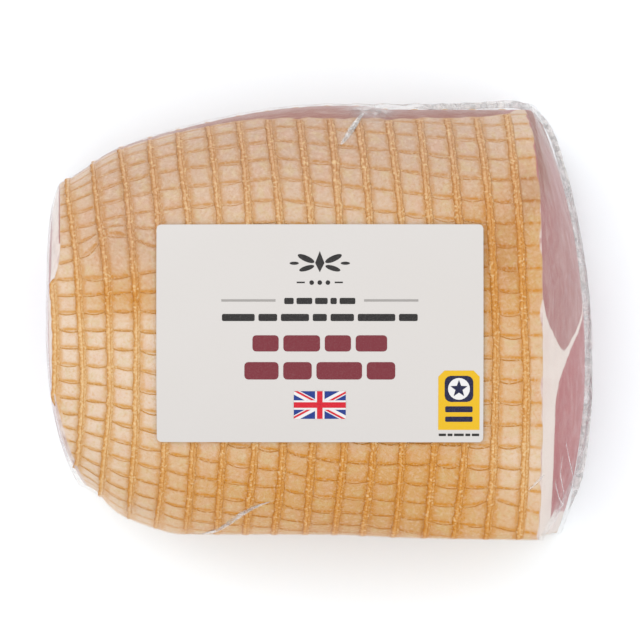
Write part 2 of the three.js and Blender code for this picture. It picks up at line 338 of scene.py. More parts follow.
def end_face(rim, middle, tip_x, fall, roundness, count):
    """Rings of an end face from inside its rim to outside its furthest point, and their shares."""
    rings, shares = [], []
    for j in range(1, count):
        k = 1 - (j / count) ** CLOSER_AT_RIM
        out = 1 - k**roundness
        points = rim.copy()
        points[:, 1] = middle[0] + k * (rim[:, 1] - middle[0])
        points[:, 2] = middle[1] + k * (rim[:, 2] - middle[1])
        points[:, 0] = rim[:, 0] + (tip_x + fall(points[:, 1]) - rim[:, 0]) * out
        rings.append(points)
        shares.append(k)
    return rings, shares


def no_fall(y):
    """The cut face doesn't fall back to any side."""
    return 0 * y


def belly_roundness(angles):
    """How square the cut face's belly is towards each side of its rim."""
    c, s = np.cos(angles), np.sin(angles)
    across = np.where(c > 0, BELLY_ROUNDNESS["shoulder"], BELLY_ROUNDNESS["side"])
    upright = np.where(s > 0, BELLY_ROUNDNESS["crown"], BELLY_ROUNDNESS["back"])
    return across * c * c + upright * s * s


# %% [markdown]
# ## Materials
# All of them are worked out from the meshes' own attributes and from noise: signed distances in
# millimetres to the rind's edge, to the lean, to the nearest cord and thread, and how deeply the
# smoke has coloured a place. A small helper keeps the node trees short.

# %% Node helper
class Shader:
    """Builds a material's node tree: every method returns a socket that goes into the next one."""

    def __init__(self, name):
        self.material = bpy.data.materials.new(name)
        self.material.use_nodes = True
        self.tree = self.material.node_tree
        self.tree.nodes.clear()
        self.output = self.tree.nodes.new("ShaderNodeOutputMaterial")

    def put(self, socket, value):
        if isinstance(value, bpy.types.NodeSocket):
            self.tree.links.new(value, socket)
        elif value is not None:
            if socket.type == "RGBA" and len(value) == 3:
                value = (*value, 1.0)
            socket.default_value = value

    def node(self, kind, out=0, props=None, **inputs):
        n = self.tree.nodes.new(kind)
        for key, value in (props or {}).items():
            setattr(n, key, value)
        for key, value in inputs.items():
            numbered = key[0] == "i" and key[1:].isdigit()
            self.put(n.inputs[int(key[1:])] if numbered else n.inputs[key], value)
        return n.outputs[out]

    def attr(self, name, out="Fac"):
        return self.node("ShaderNodeAttribute", out, {"attribute_name": name})

    def math(self, kind, a, b=None, c=None, clamp=False):
        return self.node("ShaderNodeMath", 0, {"operation": kind, "use_clamp": clamp}, i0=a, i1=b, i2=c)

    def ramp(self, value, low, high, to_low=0.0, to_high=1.0, soft=True):
        return self.node(
            "ShaderNodeMapRange", 0, {"interpolation_type": "SMOOTHSTEP" if soft else "LINEAR"},
            i0=value, i1=low, i2=high, i3=to_low, i4=to_high)

    def mix(self, share, a, b):
        n = self.tree.nodes.new("ShaderNodeMix")
        n.data_type = "RGBA"
        self.put(n.inputs[0], share)
        self.put(n.inputs[6], a)
        self.put(n.inputs[7], b)
        return n.outputs[2]

    def noise(self, scale, detail=2.0, roughness=0.5, stretch=None, distortion=0.0):
        place = self.node("ShaderNodeTexCoord", "Object")
        if stretch is not None:
            place = self.node("ShaderNodeMapping", i0=place, i3=stretch)
        return self.node("ShaderNodeTexNoise", Vector=place, Scale=scale, Detail=detail,
                         Roughness=roughness, Distortion=distortion)

    def waver(self, width, scale, detail=3, roughness=0.6):
        """Noise that goes as far below zero as above it."""
        return self.math("MULTIPLY_ADD", self.noise(scale, detail, roughness), width, -width / 2)

    def flecked(self, base, fleck, most, scale, low, high, detail=3, roughness=0.6, **more):
        """The base with flecks of another tone, where the noise goes from low to high."""
        noise_here = self.noise(scale, detail, roughness, **more)
        return self.mix(self.ramp(noise_here, low, high, 0.0, most), base, fleck)

    def bump(self, height, strength, distance, normal=None):
        return self.node("ShaderNodeBump", Strength=strength, Distance=distance,
                         Height=height, Normal=normal)

    def principled(self, colour, roughness, normal=None, **more):
        n = self.tree.nodes.new("ShaderNodeBsdfPrincipled")
        self.put(n.inputs["Base Color"], colour)
        self.put(n.inputs["Roughness"], roughness)
        if normal is not None:
            self.put(n.inputs["Normal"], normal)
        for key, value in more.items():
            self.put(n.inputs[key.replace("_", " ")], value)
        return n.outputs[0]

    def finish(self, shader):
        self.tree.links.new(shader, self.output.inputs[0])
        return self.material


LIGHT_LEVEL = 1.5


def srgb(r, g, b):
    """The linear base colour that looks like this screen colour, 0 to 255, under the scene's light."""
    def linear(value):
        v = value / 255
        return (v / 12.92 if v <= 0.04045 else ((v + 0.055) / 1.055) ** 2.4) / LIGHT_LEVEL
    return linear(r), linear(g), linear(b)


# %% [markdown]
# ## The joint
# One closed body of meat. The rind covers its front and goes down over the straight side; beyond the
# rind's edges the fat and the lean show: a pink strip along the shoulder, and the large cut face with
# two muscles, a fat seam between them and a band of fat under the rind. The net has pressed into it,
# so each mesh is a small pillow. It could be sculpted, but the pillows have to meet the cords, so the
# rings of points are worked out from the same laws, and their columns follow the net's threads.

# %% The joint's body
COLUMNS_PER_STRAND = 6
ROWS_PER_HOOP = 14
# Stations, and the section angle in degrees at which the rind ends along the shoulder.
RIND_LIMIT = (
    [-88, -64, -47, -32, -17, -2, 13, 29, 47, 61, 66, 70],
    [14, 19, 20.5, 23.5, 26.5, 31.3, 32.5, 31.5, 30, 28, 23, 12],
)
RIND_DEPTH = 0.74
PILLOW, PILLOW_POWER = 0.27, 2.2
# How far the meat stops short of the film at the small end, and over what length that fades.
NIPPED, NIPPED_OVER = 0.9, 14
# How far the film stands off along the shoulder, and how much further towards the cut face.
GAP, GAP_TO_CUT = 0.5, 1.3
NET_PAST_LAST_HOOP = 3.5
COVERED_BY_MEAT = 0.3
JOINT_CUT_RIM = 71.2
JOINT_CUT_TIP = 86.8
JOINT_SMALL_TIP = -88.7
JOINT_INSIDE = 0.35
CUT_FACE_RINGS, SMALL_FACE_RINGS = 24, 10

columns = STRANDS * COLUMNS_PER_STRAND


def nip(station, across):
    """The joint stops short of the film at the small end, least of all at the shoulder."""
    side = np.clip(-(across + 0.2) / 0.8, 0, 1) ** 2
    far = NIPPED - 0.8 * smooth(across / 0.4) + NIPPED * side
    return far * (1 - smooth((station - SMALL_RIM) / NIPPED_OVER))


def shoulder_gap(station, angle):
    """The film stands off the meat a little along the shoulder, towards the cut face."""
    near = np.exp(-(((wrapped(angle) - 0.1) / 0.5) ** 2))
    return near * (GAP * smooth((station + 60) / 30) + GAP_TO_CUT * smooth((station - 18) / 12))


def shoulder_limit(station):
    """The section angle at which the rind ends along the shoulder side."""
    return np.radians(np.interp(station, *RIND_LIMIT))


def meat_over_net(station, angle):
    """1 where the bare meat past the rind's edge swells over the net and hides it."""
    turned = wrapped(angle)
    past_edge = smooth((shoulder_limit(station) + 0.03 - turned) / 0.06)
    return past_edge * smooth((turned + 0.02) / 0.2) * smooth((station + 86) / 5)


class Layout:
    """Rows across the joint with a column on each strand, and each point's place in the net."""

    def __init__(self, last_station, per_hoop, per_strand, nipped):
        count = int((last_station - SMALL_RIM) / HOOP_PITCH * per_hoop)
        self.stations = np.linspace(SMALL_RIM, last_station, count + 1)
        self.strands = np.arange(STRANDS * per_strand) / per_strand - STRANDS / 2
        self.angles = np.unwrap([strand_angle(self.strands, s) for s in self.stations], axis=0)
        column = self.stations[:, None]
        y, z, self.across = section(column, self.angles)
        self.shift = nip(column, self.across) if nipped else 0.0 * y
        self.x = ring_x(column, y, z, self.across) + self.shift
        # The x at which a hoop through this point crosses the middle.
        self.hoop_x = self.x + bow(self.across, HOOP_BOW_SHOULDER, HOOP_BOW_SIDE)
        turns = hoop_number(self.hoop_x)
        self.off_hoop = np.abs(turns - np.round(turns)) * 2
        self.hoop_mm = self.off_hoop * HOOP_PITCH / 2
        self.off_strand = np.abs(self.strands - np.round(self.strands)) * 2
        # No net beyond the first and the last hoop.
        past_first = smooth((self.hoop_x - hoop_station(0)) / 2 + 1)
        self.netted = past_first * smooth((LAST_HOOP + NET_PAST_LAST_HOOP - self.hoop_x) / 2)

    def rings(self, depth, inside):
        rows = zip(self.stations, self.angles, depth, self.shift)
        return [ring(station, angles, out, inside, shift) for station, angles, out, shift in rows]


grid = Layout(JOINT_CUT_RIM, ROWS_PER_HOOP, COLUMNS_PER_STRAND, nipped=True)
gap = shoulder_gap(grid.stations[:, None], grid.angles)
hoop_swell = 1 - (1 - grid.off_hoop) ** PILLOW_POWER
strand_swell = (1 - (1 - grid.off_strand) ** PILLOW_POWER)[None, :]
covered = COVERED_BY_MEAT * meat_over_net(grid.stations[:, None], grid.angles)
pressed_by_net = grid.netted * (1 - covered)
swell = pressed_by_net * hoop_swell * (0.8 + 0.2 * strand_swell)
depth = -RIND_DEPTH + PILLOW * (1 - pressed_by_net + swell) - gap
body = grid.rings(depth, JOINT_INSIDE)

cut_rings, cut_shares = end_face(body[-1], CUT_BELLY_AT, JOINT_CUT_TIP, no_fall,
                                 belly_roundness(grid.angles[-1]), CUT_FACE_RINGS)
small_rings, small_shares = end_face(body[0], SMALL_FACE_AT, JOINT_SMALL_TIP, small_fall,
                                     SMALL_FACE_ROUNDNESS, SMALL_FACE_RINGS)
joint_rings = small_rings[::-1] + body + [press_flat(p, JOINT_INSIDE) for p in cut_rings]
small_tip, cut_tip = (JOINT_SMALL_TIP, *SMALL_FACE_AT), (JOINT_CUT_TIP, *CUT_BELLY_AT)
joint_points = np.vstack([[small_tip], *joint_rings, [cut_tip]])
print("joint rings", len(joint_rings), "points", len(joint_points))

# %% [markdown]
# Rind, fat and lean are one piece of tissue, so they are zones on one mesh. They could be painted,
# but a line that falls between two points would look stepped. So every point gets its distances to
# the zones' edges, and the material draws the edges from them. A soft minimum rounds the corners of
# the rind's patch, and the two muscles of the cut face are half planes joined in the same way.

# %% Zones of the joint
RIND_SIDE = np.radians(231)
SMALL_FAT_WIDTH = 1.4
MEAN_RADIUS = 60.0
SEAM_AT, SEAM_NORMAL, SEAM_HALF = (-1.5, 50.0), (0.863, 0.504), 0.9
CUT_FACE_REACH, SMALL_FACE_REACH = 40.0, 38.0
LOWER_RIM_FAT, SMALL_RING_FAT = 8.0, 6.0
BARE_LEAN_TO, BARE_LEAN_DEEP, FAT_BEYOND_RIND = 1.0, 1.4, 5
FAR = 9.0
# What a row of points has where nothing else is said: distances in millimetres, and shares.
UNTOUCHED = {
    "rind_edge": 0.0, "lean": -FAR, "dark": 0.5, "strip": 0.0,
    "lean_below": -FAR, "to_hoop": FAR, "to_strand": FAR,
}


def soft_min(a, b, radius):
    """The smaller of two distances, with the corner between them rounded."""
    h = np.clip(0.5 + 0.5 * (b - a) / radius, 0, 1)
    return b + (a - b) * h - radius * h * (1 - h)


def rind_edge(station, angle):
    """Distance inside the rind's patch, in millimetres; negative outside it."""
    turned = wrapped(angle, -np.pi / 2)
    wavy = 0.4 * np.sin(station * 0.83 + 0.6) + 0.3 * np.sin(station * 0.31 + 2)
    shoulder = (turned - shoulder_limit(station)) * MEAN_RADIUS + wavy
    side = (RIND_SIDE - turned) * MEAN_RADIUS
    ragged = 0.4 * np.sin(turned * 21) + 0.3 * np.sin(turned * 47 + 1)
    cut = JOINT_CUT_RIM - station + ragged - 0.1
    small = station - SMALL_RIM + 0.4 - SMALL_FAT_WIDTH * smooth((turned - 1.75) / 0.45)
    return np.minimum(soft_min(cut, shoulder, 3.0), np.minimum(side, small))


def cut_face_lean(points, share):
    """Distances inside the two muscles and from their seam; the share is 1 at the cut face's rim."""
    y, z = points[:, 1], points[:, 2]
    away_from_middle = np.hypot(y - CUT_BELLY_AT[0], z - CUT_BELLY_AT[1])
    reach = away_from_middle / share if share > 0.02 else CUT_FACE_REACH
    rim_away = (1 - share) * reach
    seam = (y - SEAM_AT[0]) * SEAM_NORMAL[0] + (z - SEAM_AT[1]) * SEAM_NORMAL[1]
    fat_above = (y + 5.1) * 0.72 - (z - 74.2) * 0.69
    fat_beside = (-(y + 1.5) * 18.0 - (z - 54.5) * 19.5) / 26.5
    rim_fat = 1.2 - 2.6 * smooth((y - 2) / 12)
    upper = soft_min(soft_min(rim_away - rim_fat, seam - SEAM_HALF, 2.0), fat_above, 4.0)
    lower = soft_min(soft_min(rim_away - LOWER_RIM_FAT, fat_beside, 6.0), -seam - SEAM_HALF, 1.5)
    return upper, lower, seam


def zone_row(count, **changes):
    """The fields of one row of points; each change is one number, or one for every point."""
    return {name: np.broadcast_to(changes.get(name, usual), count) for name, usual in UNTOUCHED.items()}


def side_row(station, angles, points, hoop_mm, netted):
    """The fields of a ring round the joint's side: rind, and the bare strip of lean beyond it."""
    girth = np.linalg.norm(np.diff(points, axis=0, append=points[:1]), axis=1).sum()
    turned = wrapped(angles)
    from_rind = (turned + 2 * np.pi - RIND_SIDE) * MEAN_RADIUS - FAT_BEYOND_RIND
    bare_lean = np.where(turned < BARE_LEAN_TO, np.minimum(BARE_LEAN_DEEP, from_rind), -0.1)
    return zone_row(columns, rind_edge=rind_edge(station, angles), lean=bare_lean,
                    strip=1 - smooth((station - 60) / 10), to_hoop=hoop_mm + FAR * (1 - netted),
                    to_strand=grid.off_strand / 2 * girth / STRANDS)


def cut_row(points, share):
    """The fields of a ring on the cut face, where the lean at the rim is painted darker and browner towards
    the shoulder, as shade.
    """
    upper, lower, seam = cut_face_lean(points, share)
    rim_away = (1 - share) * 45.0
    # Painted shade: the lean near the rim, towards the shoulder, takes the darker brown tone.
    shaded_rim = smooth((11 - rim_away) / 8) * smooth((points[:, 1] - 34) / 14)
    return zone_row(columns, rind_edge=-rim_away, lean=upper, dark=smooth(-seam / 2 + 0.5),
                    strip=shaded_rim, lean_below=lower)


rows = [zone_row(1, rind_edge=-30.0, lean=4.0, dark=0.4)]
for share in small_shares[::-1]:
    away = (1 - share) * SMALL_FACE_REACH
    rows.append(zone_row(columns, rind_edge=-0.2 - away, lean=max(away - SMALL_RING_FAT, -0.3), dark=0.4))
rows += [side_row(*parts) for parts in zip(grid.stations, grid.angles, body, grid.hoop_mm, grid.netted)]
rows += [cut_row(points, share) for points, share in zip(cut_rings, cut_shares)]
rows.append(zone_row(1, rind_edge=-45.0, dark=1.0, lean_below=12.0))
zones = {name: np.concatenate([row[name] for row in rows]) for name in UNTOUCHED}
print("zones", sorted(zones), "rind on", round(float((zones["rind_edge"] > 0).mean()), 2), "of the points")

# %% [markdown]
# The smoke has coloured the rind unevenly: amber along the straight side and at the upper right,
# pale and creamy at the middle of the small half. A few soft spots with a centre, a size and a
# strength say where. The cords and threads read the same field, so they darken with the rind.

# %% How deeply the smoke has coloured a place
# x, y, reach along, reach across, strength
SMOKE_SPOTS = [
    (0, -62, 60, 30, 1.0), (45, -52, 45, 26, 0.5), (58, 22, 18, 24, 1.45), (67, 43, 6, 9, 1.2),
    (64, -20, 20, 26, 0.4), (10, 52, 70, 22, 0.4), (-60, 42, 30, 22, 0.25), (-66, 25, 16, 14, 0.7),
    (-62, 7, 16, 7, 0.9), (64, -46, 14, 14, -0.6), (-66, -18, 26, 22, -0.15),
    (52, 60, 24, 12, -0.3), (-45, -50, 20, 16, 0.25), (0, -74, 60, 7, 0.4),
]

# Where the rind is duller and pinker: towards the shoulder and round the slipped threads.
DUSK_SPOTS = [
    (-10, 64, 85, 33, 1.15), (48, 56, 20, 14, 0.3), (-66, 42, 18, 16, 0.4), (-62, 24, 24, 11, 0.5),
    (67, 42, 7, 9, 0.25), (60, 16, 12, 24, 0.1),
]


def soft_spots(points, spots):
    """The sum of the spots at every point, seen from the front, from 0 to 2."""
    total = np.zeros(len(points))
    for x, y, along, across, strength in spots:
        away = -(((points[:, 0] - x) / along) ** 2) - ((points[:, 1] - y) / across) ** 2
        total += strength * np.exp(away)
    return np.clip(total, 0, 2)


zones["smoke"] = soft_spots(joint_points, SMOKE_SPOTS)
zones["dusk"] = soft_spots(joint_points, DUSK_SPOTS)
joint = new_mesh("joint", joint_points, skin_faces(len(joint_rings), columns), zones)
print("joint faces", len(joint.data.polygons))

# %% [markdown]
# The finish of smoked rind is a ground that goes from cream over amber to brown, darker in a line
# beside every cord and thread, smoke-stained and painted with the crevice's shade, and flecked all
# over. A painted picture would blur close up, so the tones are mixed from the distances, the smoke
# and several sizes of noise.

# %% Tones of rind, fat and lean
RIND_PALE, RIND_AMBER = srgb(239, 214, 190), srgb(220, 170, 106)
RIND_DEEP, RIND_DUSKY = srgb(200, 142, 66), srgb(205, 174, 152)
RIND_ROSY, RIND_SALLOW = srgb(226, 172, 148), srgb(216, 196, 136)
# Tones of the lines beside cords and threads: smoke-stained and painted with the crevice's shade; the
# flecks use them too.
STAIN_AND_SHADE, STAIN_AND_SHADE_DARK = srgb(220, 162, 84), srgb(214, 140, 20)
STAIN_AND_SHADE_DEEP, STAIN_AND_SHADE_DUSKY = srgb(190, 114, 8), srgb(186, 136, 92)
FAT, FAT_SHADE = srgb(244, 229, 220), srgb(236, 212, 204)
LEAN_PALE, LEAN_DARK, LEAN_BROWN_AND_SHADE = srgb(184, 129, 126), srgb(188, 112, 113), srgb(166, 113, 100)


def smoked_tone(s, smoked, dusk_share, pale, amber, deep, dusky, soft=True):
    """A tone that the smoke takes from pale over amber to deep, and duller towards the shoulder."""
    tone = s.mix(s.ramp(smoked, 0.0, 1.0, soft=soft), pale, amber)
    tone = s.mix(s.ramp(smoked, 1.0, 1.7), tone, deep)
    return s.mix(s.math("MULTIPLY", s.attr("dusk"), dusk_share, clamp=True), tone, dusky)


def rind_tone(s):
    """The rind's ground, the lines beside cords and threads, smoke-stained and painted with shade, and the
    grain over both.
    """
    smoked = s.math("ADD", s.attr("smoke"), s.waver(0.4, 60))
    base = smoked_tone(s, smoked, 0.9, RIND_PALE, RIND_AMBER, RIND_DEEP, RIND_DUSKY, soft=False)
    base = s.flecked(base, s.mix(0.6, base, RIND_ROSY), 0.45, 150, 0.45, 0.72)
    base = s.flecked(base, s.mix(0.6, base, RIND_SALLOW), 0.5, 260, 0.48, 0.66, distortion=0.5)
    wander = s.waver(1.6, 520, 3, 0.65)
    # Beside each cord and thread the rind is smoke-stained and painted darker as the crevice's shade.
    beside = s.ramp(s.math("ADD", s.attr("to_hoop"), wander), 1.3, 3.1, 0.8, 0.0)
    line = s.math("ABSOLUTE", s.math("ADD", s.attr("to_strand"), s.math("MULTIPLY", wander, 0.4)))
    along = s.math("ADD", s.ramp(line, 0.2, 0.65, 0.6, 0.0), s.ramp(line, 0.4, 1.6, 0.4, 0.0))
    uneven = s.ramp(s.noise(330, 3, 0.6), 0.3, 0.6, 0.6, 1.0)
    stain_and_shade = smoked_tone(s, smoked, 0.7, STAIN_AND_SHADE, STAIN_AND_SHADE_DARK, STAIN_AND_SHADE_DEEP, STAIN_AND_SHADE_DUSKY)
    rind = s.mix(s.math("MULTIPLY", s.math("MAXIMUM", beside, along), uneven), base, stain_and_shade)
    rind = s.flecked(rind, s.mix(0.62, rind, RIND_PALE), 0.5, 900, 0.49, 0.62, 4, 0.7)
    return s.flecked(rind, s.mix(0.7, rind, stain_and_shade), 0.55, 1150, 0.5, 0.62, 4, 0.7, distortion=0.5)


def meat_tone(s, ragged):
    """Fat, and the two muscles inside it with streaks of fat along the grain."""
    lean = s.mix(s.attr("dark"), LEAN_PALE, LEAN_DARK)
    # The shoulder strip's lean takes the brown tone; at the cut face's rim towards the shoulder the same
    # tone is painted shade.
    lean = s.mix(s.attr("strip"), lean, LEAN_BROWN_AND_SHADE)
    lean = s.flecked(lean, FAT, 0.2, 120, 0.42, 0.75, 4, 0.6, stretch=(1, 1, 3), distortion=0.6)
    fat = s.flecked(FAT, FAT_SHADE, 0.5, 80, 0.4, 0.8, 2, 0.5)
    in_lean = s.math("MAXIMUM", s.attr("lean"), s.attr("lean_below"))
    in_lean = s.math("ADD", in_lean, s.math("MULTIPLY", ragged, 0.8))
    return s.mix(s.ramp(in_lean, -0.4, 0.5), fat, lean)


# %% The joint's material
def joint_material():
    s = Shader("gammon_joint")
    ragged = s.waver(1.6, 260)
    in_rind = s.math("ADD", s.attr("rind_edge"), s.math("MULTIPLY", ragged, 0.5))
    colour = s.mix(s.ramp(in_rind, -0.25, 0.35), meat_tone(s, ragged), rind_tone(s))
    normal = s.bump(s.noise(900, 4, 0.6), 0.25, 0.0004)
    normal = s.bump(s.noise(220, 3, 0.6), 0.3, 0.0008, normal)
    return s.finish(s.principled(colour, 0.5, normal, Specular_IOR_Level=0.14))


joint.data.materials.append(joint_material())
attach(joint, "root")
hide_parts("gammon_pack")

# %% [markdown]
# ## The net's hoops
# Each hoop is a stretched elastic cord, a flat oval about two and a half millimetres wide that
# presses into the rind. Curves with a bevel would do, but they turn as they like. Geometry Nodes
# sweep the oval along all hoops at once: the paths carry the outward direction, so the oval lies
# flat on the joint, and the cord swells where a thread is tied.

# %% Paths of the hoops
CORD_WIDTH, CORD_THICKNESS, CORD_SUNK = 2.7, 0.9, 0.2
# How deep the net lies under the bare meat, and how near to a flat side it is turned to face it.
BURIED = 1.7
CONTACT = 1.0
END_FACE_REACH, END_FACE_LIFT = 38, 2.2


def joint_angle(station, strand):
    """Section angles on the joint's grid, for a station and a strand number at each point."""
    row = np.interp(station, grid.stations, np.arange(len(grid.stations)))
    column = (strand + STRANDS / 2) % STRANDS * COLUMNS_PER_STRAND
    r, c = np.minimum(row.astype(int), len(grid.stations) - 2), column.astype(int)
    u, v = row - r, column - c
    turn = 2 * np.pi * (c + 1 >= columns)
    here = grid.angles[r, c] * (1 - v) + (grid.angles[r, (c + 1) % columns] + turn) * v
    there = grid.angles[r + 1, c] * (1 - v) + (grid.angles[r + 1, (c + 1) % columns] + turn) * v
    return here * (1 - u) + there * u


def outward(station, angle):
    """Unit normals of the skin, straight down on the flat back and sideways on the flat side."""
    dy, dz = section_slope(station, angle)
    normal = np.stack([0 * dy, dz, -dy], -1)
    normal /= np.linalg.norm(normal, axis=-1)[..., None]
    points = ring(station, angle)
    normal[points[..., 2] < CONTACT] = (0, 0, -1)
    beside = (points[..., 1] < -HALF_WIDTH + CONTACT) & (points[..., 2] >= CONTACT)
    normal[beside] = (0, -1, 0)
    return normal


def stretched_over(station, angle):
    """How much deeper the net lies at the low slanting side, where the film is stretched over it."""
    turned = wrapped(angle, -np.pi / 2)
    at_side = 0.5 * smooth((turned - 2.65) / 0.3) * smooth((-26 - station) / 16)
    on_fat = smooth((SMALL_RIM + SMALL_FAT_WIDTH + 0.6 - station) / 1.2)
    past_rind = 1.6 * smooth((turned - 1.85) / 0.3) * on_fat
    low_rim = 1.2 * smooth(-(turned + 0.3) / 0.3) + 1.2 * smooth((turned - 2.9) / 0.3)
    return at_side + np.maximum(past_rind, low_rim * smooth((SMALL_RIM + 3 - station) / 2))


def waves(count, phase):
    """That many waves round the girth, with a value for each of the joint's columns."""
    return np.sin(np.arange(columns) * count / columns * 2 * np.pi + phase)


def hoop_x(i):
    """Where a hoop would cross the middle: it wavers, and every thread tugs at it a little."""
    tug = 0.06 + 0.05 * np.sin(grid.strands * 0.9 + i * 1.3)
    pull = np.sin(2 * np.pi * grid.strands + 0.7 * np.sin(grid.strands * 0.37 + i))
    return float(hoop_station(i)) + 0.25 * waves(3, i * 2.1) + 0.14 * waves(8, i * 4.7) + tug * pull


def hoop_path(i):
    """A hoop over the joint; where it would run past the small end it lies on the end face."""
    at = hoop_x(i)
    station = np.array([np.interp(at[j], grid.hoop_x[:, j], grid.stations) for j in range(columns)])
    angles = joint_angle(station, grid.strands)
    over = np.maximum(0, grid.hoop_x[0] - at)
    across = section(station, angles)[2]
    hidden = BURIED * meat_over_net(station, angles) + stretched_over(station, angles)
    deep = -CORD_THICKNESS / 2 - CORD_SUNK - shoulder_gap(station, angles) - hidden
    points = ring(station, angles, deep, CORD_THICKNESS / 2 + CORD_SUNK, nip(station, across))
    normal = outward(station, angles)
    k = 1 - over / END_FACE_REACH
    middle = np.array(SMALL_FACE_AT)
    points[:, 1:] = middle + k[:, None] * (points[:, 1:] - middle)
    face_x = JOINT_SMALL_TIP + small_fall(points[:, 1])
    onto_face = (face_x - points[:, 0]) * (1 - k**SMALL_FACE_ROUNDNESS)
    points[:, 0] += onto_face + END_FACE_LIFT * smooth(over / 0.9)
    tip_over = smooth(over / 3)[:, None]
    normal = normal * (1 - tip_over) + np.array([-1.0, 0, 0]) * tip_over
    normal /= np.linalg.norm(normal, axis=1)[:, None]
    knot = 0.97 + 0.1 * np.cos(2 * np.pi * grid.strands) + 0.06 * np.sin(5 * angles + i)
    knot = knot + 0.05 * np.sin(grid.strands * 2.9 + i * 1.9)
    return points, normal, knot


def path_object(name, paths, closed=True):
    """One object of bare edges along all paths, which carry a direction, a swell and the smoke."""
    points, edges, normals, scales = [], [], [], []
    for p, normal, scale in paths:
        start = len(points)
        points.extend((p * MM).tolist())
        normals.extend(normal.tolist())
        scales.extend(scale.tolist())
        n = len(p)
        edges.extend((start + j, start + j + 1) for j in range(n - 1))
        if closed:
            edges.append((start + n - 1, start))
    mesh = bpy.data.meshes.new(name)
    mesh.from_pydata(points, edges, [])
    places = np.array(points) / MM
    store_values(mesh, {"outward": normals, "swell": scales,
                        "smoke": soft_spots(places, SMOKE_SPOTS), "dusk": soft_spots(places, DUSK_SPOTS)})
    return link(bpy.data.objects.new(name, mesh))


hoop_object = path_object("hoop_paths", [hoop_path(i) for i in range(HOOPS)])
print("points on the hoops' paths", len(hoop_object.data.vertices))


# %% A node group that sweeps an oval along paths
def sweep_group(name, material, sides):
    """Geometry Nodes with named inputs for the oval's width and thickness."""
    tree = bpy.data.node_groups.new(name, "GeometryNodeTree")
    face = tree.interface
    face.new_socket("Geometry", in_out="INPUT", socket_type="NodeSocketGeometry")
    face.new_socket("Cord width", in_out="INPUT", socket_type="NodeSocketFloat")
    face.new_socket("Cord thickness", in_out="INPUT", socket_type="NodeSocketFloat")
    face.new_socket("Geometry", in_out="OUTPUT", socket_type="NodeSocketGeometry")
    new, links = tree.nodes.new, tree.links.new

    def named(kind, attribute):
        n = new("GeometryNodeInputNamedAttribute")
        n.data_type = kind
        n.inputs["Name"].default_value = attribute
        return n.outputs["Attribute"]

    def stored(attribute, geometry, value):
        n = new("GeometryNodeStoreNamedAttribute")
        n.data_type, n.domain = "FLOAT", "POINT"
        n.inputs["Name"].default_value = attribute
        links(geometry, n.inputs["Geometry"])
        links(value, n.inputs["Value"])
        return n.outputs["Geometry"]

    start, end = new("NodeGroupInput"), new("NodeGroupOutput")
    curve = new("GeometryNodeMeshToCurve")
    links(start.outputs["Geometry"], curve.inputs["Mesh"])
    turn = new("GeometryNodeSetCurveNormal")
    turn.mode = "FREE"
    links(curve.outputs["Curve"], turn.inputs["Curve"])
    links(named("FLOAT_VECTOR", "outward"), turn.inputs["Normal"])
    length = new("GeometryNodeSplineParameter")
    path = stored("along", turn.outputs["Curve"], length.outputs["Length"])

    circle = new("GeometryNodeCurvePrimitiveCircle")
    circle.inputs["Resolution"].default_value = sides
    circle.inputs["Radius"].default_value = 0.5
    oval = stored("around", circle.outputs["Curve"], length.outputs["Factor"])
    size = new("GeometryNodeTransform")
    scale = new("ShaderNodeCombineXYZ")
    links(start.outputs["Cord thickness"], scale.inputs["X"])
    links(start.outputs["Cord width"], scale.inputs["Y"])
    scale.inputs["Z"].default_value = 1.0
    links(oval, size.inputs["Geometry"])
    links(scale.outputs[0], size.inputs["Scale"])

    sweep = new("GeometryNodeCurveToMesh")
    links(path, sweep.inputs["Curve"])
    links(size.outputs["Geometry"], sweep.inputs["Profile Curve"])
    links(named("FLOAT", "swell"), sweep.inputs["Scale"])
    sweep.inputs["Fill Caps"].default_value = True
    shade = new("GeometryNodeSetShadeSmooth")
    links(sweep.outputs["Mesh"], shade.inputs["Geometry"])
    real = new("GeometryNodeRealizeInstances")
    links(shade.outputs["Geometry"], real.inputs["Geometry"])
    paint = new("GeometryNodeSetMaterial")
    links(real.outputs["Geometry"], paint.inputs["Geometry"])
    paint.inputs["Material"].default_value = material
    links(paint.outputs["Geometry"], end.inputs["Geometry"])
    return tree


def swept(name, paths, material, width, thickness, sides):
    """Runs the node group on the paths and keeps its result as a plain mesh piece."""
    tree = sweep_group(name + "_nodes", material, sides)
    modifier = paths.modifiers.new("sweep", "NODES")
    modifier.node_group = tree
    ids = {i.name: i.identifier for i in tree.interface.items_tree if i.in_out == "INPUT"}
    modifier[ids["Cord width"]] = width * MM
    modifier[ids["Cord thickness"]] = thickness * MM
    graph = bpy.context.evaluated_depsgraph_get()
    mesh = bpy.data.meshes.new_from_object(paths.evaluated_get(graph))
    bpy.data.objects.remove(paths)
    mesh.name = name
    tidy = bmesh.new()
    tidy.from_mesh(mesh)
    bmesh.ops.recalc_face_normals(tidy, faces=tidy.faces)
    tidy.to_mesh(mesh)
    tidy.free()
    obj = link(bpy.data.objects.new(name, mesh))
    fields = [a.name for a in mesh.attributes if a.name[0] != "."]
    print(name, "faces", len(mesh.polygons), "attributes", fields)
    return obj


# %% [markdown]
# The cords were cream once, and the smoke has stained them like the rind. Their edges are darker,
# smoke-stained and painted with shade, most on one side, and a few pale flecks are painted glints. A
# twisted yarn shows its lay, the slant lines across it, with painted shade between its turns: a sine
# of the length along the cord and the turn around it gives them, which is cheaper than real strands
# and holds at this size.

# %% The cords' material
CORD_PALE, CORD_AMBER, CORD_DUSKY = srgb(242, 202, 148), srgb(228, 164, 80), srgb(218, 174, 136)
